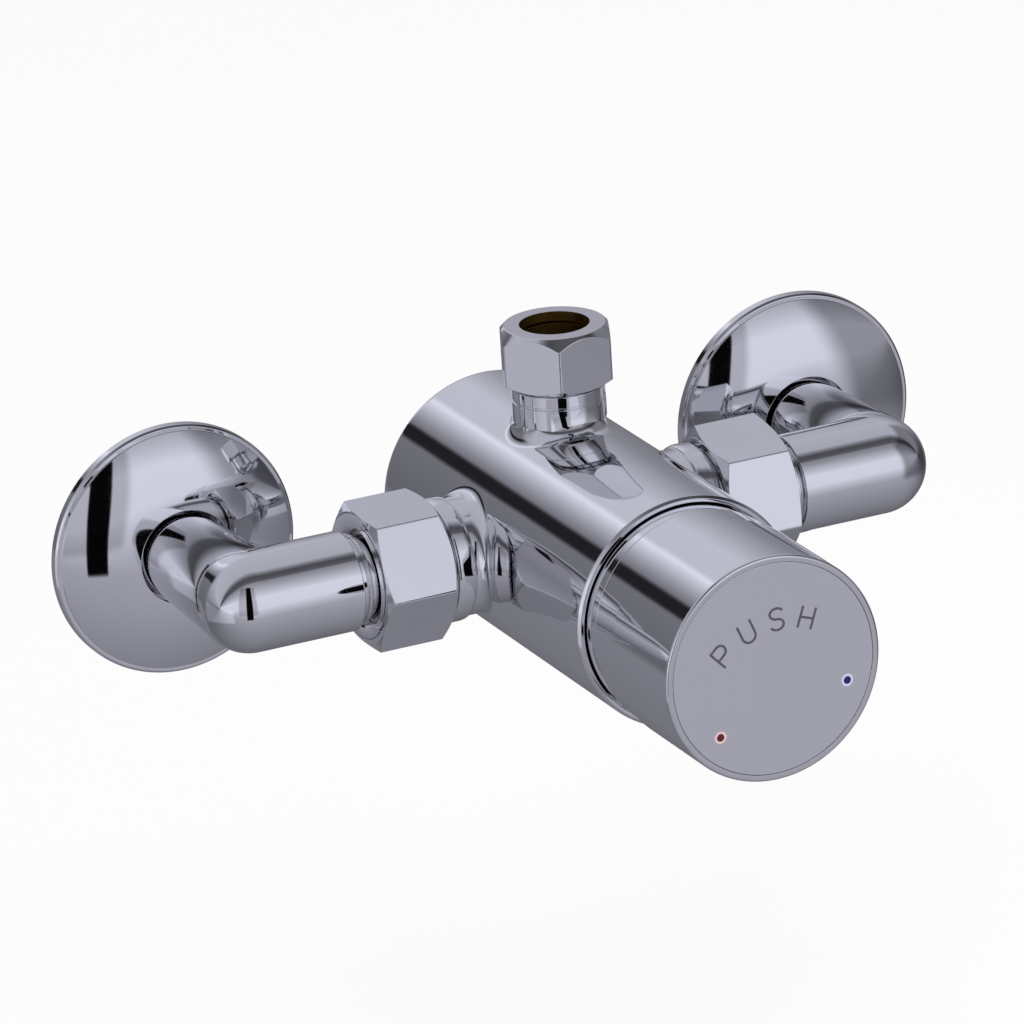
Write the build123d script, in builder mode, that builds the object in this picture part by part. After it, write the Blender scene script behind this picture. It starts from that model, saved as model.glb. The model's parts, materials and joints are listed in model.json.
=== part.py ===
"""Timed shower mixer: a wall-mounted, self-closing push valve with two union inlets and a top outlet.

All lengths are millimetres. The origin lies on the wall, midway between the two inlet tails.
+X points right as seen from the front, +Y into the wall and +Z up. Hot comes in on the left and cold on
the right.
"""
from build123d import *
from math import cos, radians, sin, sqrt
import os

# Clearances
RUNNING_FIT = 0.05  # radial play of shafts, piston and spool
SEAT_GAP = 0.1  # play of parts that are placed and then clamped
O_RING_PLAY = 0.05  # radial play drawn on each side of an O-ring

# Installation
INLET_CENTRES = 150.0  # distance between the two wall tails
AXIS_TO_WALL = 42.0  # from the wall to the inlet axis
TAIL_THREAD_DIAMETER = 20.955
TAIL_LENGTH = 12.0  # what goes into the wall
TAIL_CHAMFER = 1.0
RUNOUT_DIAMETER = 19.0  # groove where the thread ends, half on each side of the wall's surface
RUNOUT_WIDTH = 1.2

# Body
BODY_DIAMETER = 51.0
BODY_WALL_GAP = 0.8  # air between the body's back and the wall
LIP_TO_AXIS = 57.5  # from the inlet axis to the body's front lip
BODY_BACK_FILLET = 2.5
LIP_CHAMFER = 0.6
MOUTH_WALL = 1.4  # this and the next three are what each bore leaves of the barrel's radius
CLAMP_THREAD_WALL = 5.0
FLANGE_SEAT_WALL = 7.0
ANNULUS_WALL = 8.5
MOUTH_DEPTH = 11.5
CLAMP_THREAD_LENGTH = 11.5
FLANGE_SEAT_LENGTH = 5.5
ANNULUS_LENGTH = 10.5
NOSE_SHOULDER = 3.65  # from the annulus in to the nose bore
NOSE_BORE_LENGTH = 34.9
SUPPLY_GROOVE_DEPTH = 1.45
SUPPLY_GROOVE_WIDTH = 6.0
SUPPLY_OFFSET = 5.0  # hot groove behind the inlet axis, cold groove in front of it
SUPPLY_HOLE_DIAMETER = 5.6
OUTLET_CHANNEL_DIAMETER = 6.4
OUTLET_CHANNEL_DEPTH = 6.1  # its axis below the barrel's top

# Side ports and unions; each reach is a distance beyond the barrel's surface
PORT_DIAMETER = 25.8
PORT_FILLET = 3.5
PORT_RING_DIAMETER = 27.2
PORT_RING_REACH = 1.9
PORT_RING_LENGTH = 4.8
PORT_RING_ROUND = 1.6
UNION_THREAD_DIAMETER = 26.4
PORT_FACE_REACH = 17.1  # the port's sealing face
PORT_BORE_DIAMETER = 16.0
PORT_POCKET_DIAMETER = 14.0
PORT_POCKET_DEPTH = 18.6
NUT_WALL = 1.3  # least metal between the thread and a flat
NUT_REACH = 7.1  # the nut's inner end
NUT_LENGTH = 16.6
NUT_WEB = 1.9
NUT_WEB_HOLE_DIAMETER = 20.6
NUT_MOUTH_DIAMETER = 22.6
NUT_MOUTH_DEPTH = 0.8
NUT_CORNER_CHAMFER = 1.5
NUT_TURNS = {"left": 4.0, "right": 13.5}  # degrees by which each tightened hexagon stands off its corner
WASHER_THICKNESS = 2.0
WASHER_HOLE_DIAMETER = 14.6
FILTER_THICKNESS = 0.6
FILTER_HOLE_DIAMETER = 1.6
FILTER_HOLE_PITCH = 3.0
NUT_RING_WIDTH = 1.5
NUT_RING_GAP = 3.0  # the split in the ring
NUT_RING_SECTION = 3.0

# Elbows and wall flanges
ARM_DIAMETER = 19.6
WALL_ARM_DIAMETER = 19.3
ARM_SHOULDER_GAP = 2.8  # from the nut's outer end to the full arm
ARM_CHAMFER = 0.6
NECK_DIAMETER = 18.4
BEAD_DIAMETER = 19.8
BEAD_LENGTH = 1.2
BEAD_GAP = 0.8  # from the nut's outer end to the bead
GROOVE_DIAMETER = 17.4
WATERWAY_DIAMETER = 13.0
ELBOW_INNER_FILLET = 2.0
FLANGE_DIAMETER = 56.0
FLANGE_HEIGHT = 8.5
FLANGE_RIM_HEIGHT = 2.4
FLANGE_RIM_WIDTH = 1.3
FLANGE_RIM_STEP = 0.4
FLANGE_HOLE_DIAMETER = 22.2
FLANGE_SHEET = 1.2
FLANGE_HUB_DIAMETER = 27.0
FLANGE_HUB_LENGTH = 4.0
FLANGE_BULGE = 1.1  # how far the dome stands out of a straight cone
TAIL_COLLAR_DIAMETER = 21.8  # the flange's hub is pushed on this collar
TAIL_COLLAR_LENGTH = 4.4

# Outlet; each reach is a height above the barrel's top
OUTLET_THREAD_DIAMETER = 20.955
OUTLET_THREAD_REACH = 16.1  # the male thread's end
OUTLET_COLLAR_DIAMETER = 20.3
OUTLET_COLLAR_REACH = 1.1
OUTLET_COLLAR_HEIGHT = 5.8
OUTLET_NECK_DIAMETER = 19.2
OUTLET_FILLET = 4.5
OUTLET_BORE_DIAMETER = 12.0
PIPE_BORE_DIAMETER = 15.2
PIPE_STOP_REACH = 4.5  # the shoulder that the pipe stands on
OUTLET_NUT_WALL = 1.0225
OUTLET_NUT_REACH = 9.3
OUTLET_NUT_HEIGHT = 12.8
OUTLET_NUT_WEB = 2.2
OUTLET_NUT_CHAMFER = 1.6
OLIVE_DIAMETER = 18.2
OLIVE_LENGTH = 6.0

# Cartridge
NOSE_END_WALL = 3.0
SPOOL_BORE_WALL = 5.4  # what the spool's bore leaves of the tube's radius
PARTITION = 3.0
SEAT_HOLE_DIAMETER = 9.0
CHAMBER_LENGTH = 9.5
TUBE_GAP = 2.0  # water's way between the tube and the annulus
TUBE_WALL = 2.5
TIMING_BORE_LENGTH = 30.0
CAP_LENGTH = 4.5
CAP_PLUG_LENGTH = 3.0
OUTLET_WINDOW_DIAMETER = 6.0
O_RING_SECTION = 2.3
O_RING_GROOVE_WIDTH = 2.6
SMALL_O_RING_SECTION = 1.6
SMALL_O_RING_GROOVE_WIDTH = 1.9
SPOOL_WALL = 2.5
SPOOL_LENGTH = 22.0
SPOOL_WEB = 2.4
SPOOL_HUB_DIAMETER = 8.6
SPOOL_HUB_LENGTH = 9.0
SPOOL_SLOT_WIDTH = 4.4
SPOOL_SLOT_ANGLE = 116.0

# Spindle, piston and spring
TRAVEL = 4.5  # push of the knob
SPINDLE_DIAMETER = 5.9
SQUARE_DRIVE = 5.0  # at the back, in the spool
KNOB_SQUARE = 4.9  # in front, in the knob's hub
SEAL_DIAMETER = 12.6
SEAL_THICKNESS = 1.6
SEAL_PLATE = 1.2
FRONT_SPINDLE_DIAMETER = 7.0
PISTON_LENGTH = 5.0
PISTON_SEAL_WIDTH = 2.2
PISTON_SEAL_DEPTH = 2.4
SPRING_DIAMETER = 16.0
SPRING_WIRE = 1.4
SPRING_TURNS = 5.0
CHECK_SPRING_WIRE = 0.5
CHECK_SPRING_DIAMETER = 6.0
CHECK_SPRING_TURNS = 3.0

# Check valves
CAGE_WALL = 1.0
CAGE_LENGTH = 11.0
CAGE_SEAT_HOLE_DIAMETER = 9.6
CAGE_SEAT_THICKNESS = 2.0
CAGE_HUB_DIAMETER = 4.6
CAGE_RIB = 1.4
POPPET_DIAMETER = 11.8
POPPET_THICKNESS = 1.6
POPPET_STEM_DIAMETER = 2.2

# Knob
KNOB_INSET = 0.9  # this and the next two are how far each stands inside the barrel's surface
KNOB_BAND_INSET = 1.3
SLEEVE_INSET = 1.7
KNOB_BAND_LENGTH = 8.8
KNOB_LENGTH = 34.6  # from the rear of the band to the face
KNOB_TO_LIP = 4.9  # gap that the push closes
KNOB_EDGE_FILLET = 1.3
KNOB_WALL = 1.6
KNOB_FACE_THICKNESS = 3.0
KNOB_HUB_DIAMETER = 14.0
SLEEVE_INSERTION = 5.5  # overlap of the sleeve with the body's mouth
SLEEVE_SPIGOT_LENGTH = 8.0
SLEEVE_GROOVE = 0.5  # dark line between sleeve and knob
FACE_RIM = 1.5  # the knob's bright edge around the satin plate
FACE_PLATE_THICKNESS = 1.1
DRIVE_SOCKET_LENGTH = 12.0
HUB_WEB = 2.0
SCREW_HEAD_DIAMETER = 5.5
SCREW_HEAD_LENGTH = 2.6
SCREW_DIAMETER = 3.0
SCREW_LENGTH = 9.0
KNOB_TURN = 12.0  # degrees that the knob stands turned from its middle setting
MARK_DIAMETER = 1.8
MARK_DEPTH = 0.6
MARK_INSET = 5.2  # from the plate's edge to each mark's centre
MARK_ANGLE = 58.0  # of each dot from the bottom of the face

# Temperature stop
STOP_RING_LENGTH = 6.0
STOP_RING_WALL = 2.5
STOP_EAR_GAP = 2.2  # from the ears to the knob's bore
STOP_SLOT_ANGLE = 130.0
STOP_RIB_ANGLE = 12.0
STOP_RIB_DEPTH = 2.2
STOP_RIB_OVERLAP = 0.2  # how far the rib stands out beyond the ears

# Sizes that follow the barrel and the threads
BODY_RADIUS = BODY_DIAMETER / 2
MOUTH_DIAMETER = BODY_DIAMETER - 2 * MOUTH_WALL
CLAMP_THREAD_DIAMETER = BODY_DIAMETER - 2 * CLAMP_THREAD_WALL
FLANGE_SEAT_DIAMETER = BODY_DIAMETER - 2 * FLANGE_SEAT_WALL
ANNULUS_DIAMETER = BODY_DIAMETER - 2 * ANNULUS_WALL
NOSE_BORE_DIAMETER = ANNULUS_DIAMETER - 2 * NOSE_SHOULDER
SUPPLY_GROOVE_DIAMETER = NOSE_BORE_DIAMETER + 2 * SUPPLY_GROOVE_DEPTH
CARTRIDGE_TUBE_DIAMETER = ANNULUS_DIAMETER - 2 * TUBE_GAP
TIMING_BORE_DIAMETER = CARTRIDGE_TUBE_DIAMETER - 2 * TUBE_WALL
SPOOL_BORE_DIAMETER = CARTRIDGE_TUBE_DIAMETER - 2 * SPOOL_BORE_WALL
OUTLET_CHANNEL_HEIGHT = BODY_RADIUS - OUTLET_CHANNEL_DEPTH
PORT_RING_START = BODY_RADIUS + PORT_RING_REACH
PORT_FACE = BODY_RADIUS + PORT_FACE_REACH
NUT_START = BODY_RADIUS + NUT_REACH
NUT_ACROSS_FLATS = UNION_THREAD_DIAMETER + 2 * NUT_WALL
ARM_SHOULDER = NUT_START + NUT_LENGTH + ARM_SHOULDER_GAP
BEAD_START = NUT_START + NUT_LENGTH + BEAD_GAP
OUTLET_COLLAR_BOTTOM = BODY_RADIUS + OUTLET_COLLAR_REACH
OUTLET_COLLAR_TOP = OUTLET_COLLAR_BOTTOM + OUTLET_COLLAR_HEIGHT
OUTLET_THREAD_END = BODY_RADIUS + OUTLET_THREAD_REACH
OUTLET_NUT_BOTTOM = BODY_RADIUS + OUTLET_NUT_REACH
OUTLET_NUT_ACROSS_FLATS = OUTLET_THREAD_DIAMETER + 2 * OUTLET_NUT_WALL
PIPE_STOP = BODY_RADIUS + PIPE_STOP_REACH
KNOB_RADIUS = BODY_RADIUS - KNOB_INSET
KNOB_BAND_RADIUS = BODY_RADIUS - KNOB_BAND_INSET
SLEEVE_RADIUS = BODY_RADIUS - SLEEVE_INSET
FACE_PLATE_RADIUS = KNOB_RADIUS - FACE_RIM
MARK_RADIUS = FACE_PLATE_RADIUS - MARK_INSET

# Places worked out from the sizes above, as positions along the valve axis
INLET_Y = -AXIS_TO_WALL
BODY_BACK_Y = -BODY_WALL_GAP
LIP_Y = INLET_Y - LIP_TO_AXIS
MOUTH_Y = LIP_Y + MOUTH_DEPTH
CLAMP_Y = MOUTH_Y + CLAMP_THREAD_LENGTH
FLANGE_SEAT_Y = CLAMP_Y + FLANGE_SEAT_LENGTH
ANNULUS_Y = FLANGE_SEAT_Y + ANNULUS_LENGTH
NOSE_BACK_Y = ANNULUS_Y + NOSE_BORE_LENGTH
HOT_Y = INLET_Y + SUPPLY_OFFSET
COLD_Y = INLET_Y - SUPPLY_OFFSET

CARTRIDGE_BACK_Y = NOSE_BACK_Y - SEAT_GAP
SPOOL_BACK_Y = CARTRIDGE_BACK_Y - NOSE_END_WALL
SEAT_Y = ANNULUS_Y + PARTITION
CHAMBER_Y = SEAT_Y - PARTITION
CHAMBER_FRONT_Y = CHAMBER_Y - CHAMBER_LENGTH
TIMING_Y = CHAMBER_FRONT_Y - PARTITION
TIMING_FRONT_Y = TIMING_Y - TIMING_BORE_LENGTH
CAP_FRONT_Y = TIMING_FRONT_Y - CAP_LENGTH
WINDOW_Y = CHAMBER_Y - CHAMBER_LENGTH / 2

PISTON_FRONT_Y = TIMING_FRONT_Y + CAP_PLUG_LENGTH + SEAT_GAP
PISTON_BACK_Y = PISTON_FRONT_Y + PISTON_LENGTH
SEAL_FRONT_Y = SEAT_Y + SEAT_GAP
SPOOL_HUB_FRONT_Y = SPOOL_BACK_Y - SPOOL_HUB_LENGTH
SPINDLE_BACK_Y = SPOOL_BACK_Y - TRAVEL - RUNNING_FIT - SEAT_GAP
KNOB_REAR_Y = LIP_Y - KNOB_TO_LIP
KNOB_FACE_Y = KNOB_REAR_Y - KNOB_LENGTH
KNOB_INNER_Y = KNOB_FACE_Y + KNOB_FACE_THICKNESS
KNOB_HUB_REAR_Y = CAP_FRONT_Y - TRAVEL - 1.0
SPINDLE_FRONT_Y = KNOB_HUB_REAR_Y - DRIVE_SOCKET_LENGTH
HUB_WEB_FRONT_Y = SPINDLE_FRONT_Y - SEAT_GAP - HUB_WEB

PORT_BORE_END = PORT_FACE - CAGE_LENGTH - 2 * SEAT_GAP

VALVE_AXIS = Axis.Y
PORT_PLANE = Plane(origin=(0, INLET_Y, 0), x_dir=(1, 0, 0), z_dir=(0, 0, 1))
PORT_AXIS = Axis((0, INLET_Y, 0), (1, 0, 0))
OUTLET_PLANE = Plane(origin=(0, INLET_Y, 0), x_dir=(1, 0, 0), z_dir=(0, -1, 0))
OUTLET_AXIS = Axis((0, INLET_Y, 0), (0, 0, 1))
SIDES = {"left": -1, "right": 1}


def section(plane, *points):
    """A closed outline on a plane; its points are (across, along) in that plane."""
    with BuildSketch(plane) as outline:
        Polygon(*points, align=None)
    return outline.sketch


def ring_section(plane, inner, outer, start, end):
    """Half the cut through a plain ring, for turning about the valve axis."""
    return section(plane, (inner, start), (outer, start), (outer, end), (inner, end))


def side_ring_section(side, inner, outer, start, end):
    """Half the cut through a plain ring on the port axis, between two distances from the valve axis."""
    return section(PORT_PLANE, (side * start, inner), (side * end, inner), (side * end, outer),
                   (side * start, outer))


def coil(radius, wire, turns, height, start, direction):
    """An open coil spring standing on a start point; the wire's ends lie inside its height."""
    first = Vector(start) + Vector(direction) * (wire / 2)
    with BuildPart() as spring:
        with BuildLine():
            path = Helix(pitch=(height - wire) / turns, height=height - wire, radius=radius, center=first,
                         direction=direction)
        with BuildSketch(Plane(origin=path @ 0, z_dir=path % 0)):
            Circle(wire / 2)
        sweep(path=path, is_frenet=True)
    return spring


def save(piece, name):
    """Label a finished piece and write it under its own name."""
    piece.part.label = name
    export_step(piece.part, f"parts/{name}.step")


os.makedirs("parts", exist_ok=True)

# Valve body: a casting with two ports and an outlet neck, bored from the front
with BuildPart() as valve_body:
    revolve(section(Plane.XY, (0, BODY_BACK_Y), (BODY_RADIUS, BODY_BACK_Y), (BODY_RADIUS, LIP_Y),
                    (0, LIP_Y)), axis=VALVE_AXIS)
    fillet(valve_body.edges().group_by(Axis.Y)[-1], radius=BODY_BACK_FILLET)
    chamfer(valve_body.edges().group_by(Axis.Y)[0], length=LIP_CHAMFER)
    with BuildSketch(Plane(origin=(0, INLET_Y, 0), z_dir=(1, 0, 0))):
        Circle(PORT_DIAMETER / 2)
    extrude(amount=PORT_RING_START + PORT_RING_LENGTH / 2, both=True)
    port_seams = valve_body.edges(Select.LAST).filter_by(GeomType.BSPLINE)
    fillet(port_seams, radius=PORT_FILLET)
    neck_radius = OUTLET_NECK_DIAMETER / 2
    with BuildSketch(Plane(origin=(0, INLET_Y, 0), z_dir=(0, 0, 1))):
        Circle(neck_radius)
    extrude(amount=OUTLET_COLLAR_TOP - 1)
    outlet_seam = valve_body.edges(Select.LAST).filter_by(GeomType.BSPLINE)
    fillet(outlet_seam, radius=OUTLET_FILLET)
    collar_radius = OUTLET_COLLAR_DIAMETER / 2
    thread_radius = OUTLET_THREAD_DIAMETER / 2
    revolve(section(OUTLET_PLANE, (0, OUTLET_COLLAR_BOTTOM - 1),
                    (neck_radius, OUTLET_COLLAR_BOTTOM - 0.6), (collar_radius, OUTLET_COLLAR_BOTTOM),
                    (collar_radius, OUTLET_COLLAR_TOP - 0.4), (neck_radius, OUTLET_COLLAR_TOP),
                    (neck_radius, OUTLET_NUT_BOTTOM), (thread_radius, OUTLET_NUT_BOTTOM + 0.9),
                    (thread_radius, OUTLET_THREAD_END - 0.6), (thread_radius - 0.6, OUTLET_THREAD_END),
                    (0, OUTLET_THREAD_END)), axis=OUTLET_AXIS)
    for side in SIDES.values():
        ring_end = PORT_RING_START + PORT_RING_LENGTH
        union_radius = UNION_THREAD_DIAMETER / 2
        with BuildSketch(PORT_PLANE):
            with BuildLine():
                ring_radius = PORT_RING_DIAMETER / 2
                ring_foot = PORT_DIAMETER / 2 - 0.4
                Line((side * PORT_RING_START, 0), (side * PORT_RING_START, ring_foot))
                ThreePointArc((side * PORT_RING_START, ring_foot),
                              (side * (PORT_RING_START + PORT_RING_ROUND * 0.35), ring_radius - 0.3),
                              (side * (PORT_RING_START + PORT_RING_ROUND), ring_radius))
                Line((side * (PORT_RING_START + PORT_RING_ROUND), ring_radius),
                     (side * (ring_end - PORT_RING_ROUND), ring_radius))
                ThreePointArc((side * (ring_end - PORT_RING_ROUND), ring_radius),
                              (side * (ring_end - PORT_RING_ROUND * 0.3), ring_radius - 0.45),
                              (side * ring_end, union_radius - 0.8))
                Polyline((side * ring_end, union_radius - 0.8),
                         (side * (ring_end + 1.2), union_radius - 0.8),
                         (side * (ring_end + 1.8), union_radius), (side * (PORT_FACE - 0.8), union_radius),
                         (side * PORT_FACE, union_radius - 0.8), (side * PORT_FACE, 0),
                         (side * PORT_RING_START, 0))
            make_face()
        revolve(axis=PORT_AXIS)
    # Bores, from the front
    revolve(section(Plane.XY, (0, LIP_Y - 1), (MOUTH_DIAMETER / 2, LIP_Y - 1),
                    (MOUTH_DIAMETER / 2, MOUTH_Y), (CLAMP_THREAD_DIAMETER / 2, MOUTH_Y),
                    (CLAMP_THREAD_DIAMETER / 2, CLAMP_Y), (FLANGE_SEAT_DIAMETER / 2, CLAMP_Y),
                    (FLANGE_SEAT_DIAMETER / 2, FLANGE_SEAT_Y), (ANNULUS_DIAMETER / 2, FLANGE_SEAT_Y),
                    (ANNULUS_DIAMETER / 2, ANNULUS_Y), (NOSE_BORE_DIAMETER / 2, ANNULUS_Y),
                    (NOSE_BORE_DIAMETER / 2, NOSE_BACK_Y), (0, NOSE_BACK_Y)), axis=VALVE_AXIS,
            mode=Mode.SUBTRACT)
    for groove_y in (HOT_Y, COLD_Y):
        revolve(ring_section(Plane.XY, NOSE_BORE_DIAMETER / 2 - 1, SUPPLY_GROOVE_DIAMETER / 2,
                             groove_y - SUPPLY_GROOVE_WIDTH / 2, groove_y + SUPPLY_GROOVE_WIDTH / 2),
                axis=VALVE_AXIS, mode=Mode.SUBTRACT)
    # Ports: a stepped bore for the check valve, then a drilling to its own groove
    for name, side in SIDES.items():
        revolve(section(PORT_PLANE, (side * (PORT_FACE + 1), 0),
                        (side * (PORT_FACE + 1), PORT_BORE_DIAMETER / 2),
                        (side * PORT_BORE_END, PORT_BORE_DIAMETER / 2),
                        (side * PORT_BORE_END, PORT_POCKET_DIAMETER / 2),
                        (side * (PORT_FACE - PORT_POCKET_DEPTH), PORT_POCKET_DIAMETER / 2),
                        (side * (PORT_FACE - PORT_POCKET_DEPTH), 0)), axis=PORT_AXIS, mode=Mode.SUBTRACT)
        supply_y = HOT_Y if name == "left" else COLD_Y
        with BuildSketch(Plane(origin=(side * (PORT_FACE - PORT_POCKET_DEPTH + 1), supply_y, 0),
                               z_dir=(-side, 0, 0))):
            Circle(SUPPLY_HOLE_DIAMETER / 2)
        extrude(amount=PORT_FACE - PORT_POCKET_DEPTH - NOSE_BORE_DIAMETER / 2 + 1, mode=Mode.SUBTRACT)
    # Outlet: a channel from the annulus to the neck, then the pipe socket
    with BuildSketch(Plane(origin=(0, INLET_Y, OUTLET_CHANNEL_HEIGHT), z_dir=(0, -1, 0))):
        Circle(OUTLET_CHANNEL_DIAMETER / 2)
    extrude(amount=INLET_Y - (FLANGE_SEAT_Y + ANNULUS_LENGTH / 2), mode=Mode.SUBTRACT)
    revolve(section(OUTLET_PLANE, (0, OUTLET_CHANNEL_HEIGHT),
                    (OUTLET_BORE_DIAMETER / 2, OUTLET_CHANNEL_HEIGHT),
                    (OUTLET_BORE_DIAMETER / 2, PIPE_STOP), (PIPE_BORE_DIAMETER / 2, PIPE_STOP),
                    (PIPE_BORE_DIAMETER / 2, OUTLET_THREAD_END - 1.4),
                    (OLIVE_DIAMETER / 2, OUTLET_THREAD_END + 0.1), (0, OUTLET_THREAD_END + 0.1)),
            axis=OUTLET_AXIS, mode=Mode.SUBTRACT)
save(valve_body, "valve_body")

# Cartridge body: one turned piece with its nose in the body's bore and its timing tube in front
nose_radius = NOSE_BORE_DIAMETER / 2 - RUNNING_FIT
groove_floor = nose_radius - O_RING_SECTION + RUNNING_FIT
tube_radius = CARTRIDGE_TUBE_DIAMETER / 2
seat_flange_radius = FLANGE_SEAT_DIAMETER / 2 - RUNNING_FIT
nose_ring_places = (HOT_Y + SUPPLY_GROOVE_WIDTH, INLET_Y, COLD_Y - SUPPLY_GROOVE_WIDTH)
seat_ring_y = (FLANGE_SEAT_Y + CLAMP_Y) / 2
small_groove_radius = SPINDLE_DIAMETER / 2 + SMALL_O_RING_SECTION
with BuildPart() as cartridge_body:
    revolve(section(Plane.XY, (0, CARTRIDGE_BACK_Y), (nose_radius - 1, CARTRIDGE_BACK_Y),
                    (nose_radius, CARTRIDGE_BACK_Y - 1), (nose_radius, ANNULUS_Y - 1),
                    (tube_radius - 2.6, ANNULUS_Y - 2), (tube_radius - 2.6, FLANGE_SEAT_Y - SEAT_GAP),
                    (seat_flange_radius, FLANGE_SEAT_Y - SEAT_GAP), (seat_flange_radius, CLAMP_Y),
                    (tube_radius, CLAMP_Y), (tube_radius, TIMING_FRONT_Y), (0, TIMING_FRONT_Y)),
            axis=VALVE_AXIS)
    for ring_y in nose_ring_places:
        revolve(ring_section(Plane.XY, groove_floor, nose_radius + 1, ring_y - O_RING_GROOVE_WIDTH / 2,
                             ring_y + O_RING_GROOVE_WIDTH / 2), axis=VALVE_AXIS, mode=Mode.SUBTRACT)
    revolve(ring_section(Plane.XY, seat_flange_radius - O_RING_SECTION + RUNNING_FIT,
                         seat_flange_radius + 1, seat_ring_y - O_RING_GROOVE_WIDTH / 2,
                         seat_ring_y + O_RING_GROOVE_WIDTH / 2), axis=VALVE_AXIS, mode=Mode.SUBTRACT)
    # Inner chambers, separated by the valve seat and the spindle guide
    revolve(ring_section(Plane.XY, 0, SPOOL_BORE_DIAMETER / 2, SEAT_Y, SPOOL_BACK_Y), axis=VALVE_AXIS,
            mode=Mode.SUBTRACT)
    revolve(ring_section(Plane.XY, 0, SEAT_HOLE_DIAMETER / 2, CHAMBER_Y - 1, SEAT_Y + 1), axis=VALVE_AXIS,
            mode=Mode.SUBTRACT)
    revolve(ring_section(Plane.XY, 0, SPOOL_BORE_DIAMETER / 2, CHAMBER_FRONT_Y, CHAMBER_Y),
            axis=VALVE_AXIS, mode=Mode.SUBTRACT)
    revolve(ring_section(Plane.XY, 0, SPINDLE_DIAMETER / 2 + RUNNING_FIT, TIMING_Y - 1,
                         CHAMBER_FRONT_Y + 1), axis=VALVE_AXIS, mode=Mode.SUBTRACT)
    guide_ring_y = (CHAMBER_FRONT_Y + TIMING_Y) / 2
    revolve(ring_section(Plane.XY, 0, small_groove_radius, guide_ring_y - SMALL_O_RING_GROOVE_WIDTH / 2,
                         guide_ring_y + SMALL_O_RING_GROOVE_WIDTH / 2), axis=VALVE_AXIS,
            mode=Mode.SUBTRACT)
    revolve(ring_section(Plane.XY, 0, TIMING_BORE_DIAMETER / 2, TIMING_FRONT_Y - 1, TIMING_Y),
            axis=VALVE_AXIS, mode=Mode.SUBTRACT)
    # Supply windows at the hot and cold grooves, outlet windows into the annulus
    for side, window_y in ((-1, HOT_Y), (1, COLD_Y)):
        with BuildSketch(Plane(origin=(0, window_y, 0), z_dir=(side, 0, 0))):
            Circle(SPOOL_SLOT_WIDTH / 2)
        extrude(amount=nose_radius + 1, mode=Mode.SUBTRACT)
    with BuildSketch(Plane(origin=(0, WINDOW_Y, 0), z_dir=(0, 0, 1))):
        Circle(OUTLET_WINDOW_DIAMETER / 2)
    extrude(amount=tube_radius, both=True, mode=Mode.SUBTRACT)
    with BuildSketch(Plane(origin=(0, WINDOW_Y, 0), z_dir=(1, 0, 0))):
        Circle(OUTLET_WINDOW_DIAMETER / 2)
    extrude(amount=tube_radius, both=True, mode=Mode.SUBTRACT)
save(cartridge_body, "cartridge_body")


def o_ring(inner, outer, ring_y):
    """One ring of round section about the valve axis, filling its groove but for the play on each side."""
    minor = (outer - inner) / 2 - O_RING_PLAY
    with BuildPart() as ring:
        with BuildSketch(Plane.XY):
            with Locations(((outer + inner) / 2, ring_y)):
                Circle(minor)
        revolve(axis=VALVE_AXIS)
    return ring.part


with BuildPart() as cartridge_o_rings:
    for ring_y in nose_ring_places:
        add(o_ring(groove_floor, NOSE_BORE_DIAMETER / 2, ring_y))
    add(o_ring(seat_flange_radius - O_RING_SECTION + RUNNING_FIT, FLANGE_SEAT_DIAMETER / 2, seat_ring_y))
save(cartridge_o_rings, "cartridge_o_rings")

with BuildPart() as cartridge_clamp_nut:
    clamp_radius = CLAMP_THREAD_DIAMETER / 2 - RUNNING_FIT
    revolve(section(Plane.XY, (tube_radius + SEAT_GAP, CLAMP_Y), (clamp_radius - 0.8, CLAMP_Y),
                    (clamp_radius, CLAMP_Y - 0.8), (clamp_radius, MOUTH_Y + 1.5),
                    (clamp_radius - 1, MOUTH_Y + 0.5), (tube_radius + SEAT_GAP, MOUTH_Y + 0.5)),
            axis=VALVE_AXIS)
    # Four notches for the assembly wrench
    with BuildSketch(Plane(origin=(0, MOUTH_Y + 0.5, 0), z_dir=(0, 1, 0))):
        with PolarLocations(clamp_radius - 1.5, 4):
            Rectangle(4, 4)
    extrude(amount=3, mode=Mode.SUBTRACT)
save(cartridge_clamp_nut, "cartridge_clamp_nut")

with BuildPart() as cartridge_cap:
    front_bore = FRONT_SPINDLE_DIAMETER / 2 + RUNNING_FIT
    plug_radius = TIMING_BORE_DIAMETER / 2 - RUNNING_FIT
    revolve(section(Plane.XY, (front_bore, TIMING_FRONT_Y + CAP_PLUG_LENGTH),
                    (plug_radius, TIMING_FRONT_Y + CAP_PLUG_LENGTH), (plug_radius, TIMING_FRONT_Y),
                    (tube_radius, TIMING_FRONT_Y), (tube_radius, CAP_FRONT_Y + 0.8),
                    (tube_radius - 0.8, CAP_FRONT_Y), (front_bore, CAP_FRONT_Y)), axis=VALVE_AXIS)
    front_groove_radius = FRONT_SPINDLE_DIAMETER / 2 + SMALL_O_RING_SECTION
    cap_ring_y = (TIMING_FRONT_Y + CAP_PLUG_LENGTH + CAP_FRONT_Y) / 2
    revolve(ring_section(Plane.XY, 0, front_groove_radius, cap_ring_y - SMALL_O_RING_GROOVE_WIDTH / 2,
                         cap_ring_y + SMALL_O_RING_GROOVE_WIDTH / 2), axis=VALVE_AXIS, mode=Mode.SUBTRACT)
save(cartridge_cap, "cartridge_cap")

with BuildPart() as spindle_o_rings:
    add(o_ring(SPINDLE_DIAMETER / 2, small_groove_radius, guide_ring_y))
    add(o_ring(FRONT_SPINDLE_DIAMETER / 2, front_groove_radius, cap_ring_y))
save(spindle_o_rings, "spindle_o_rings")

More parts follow.
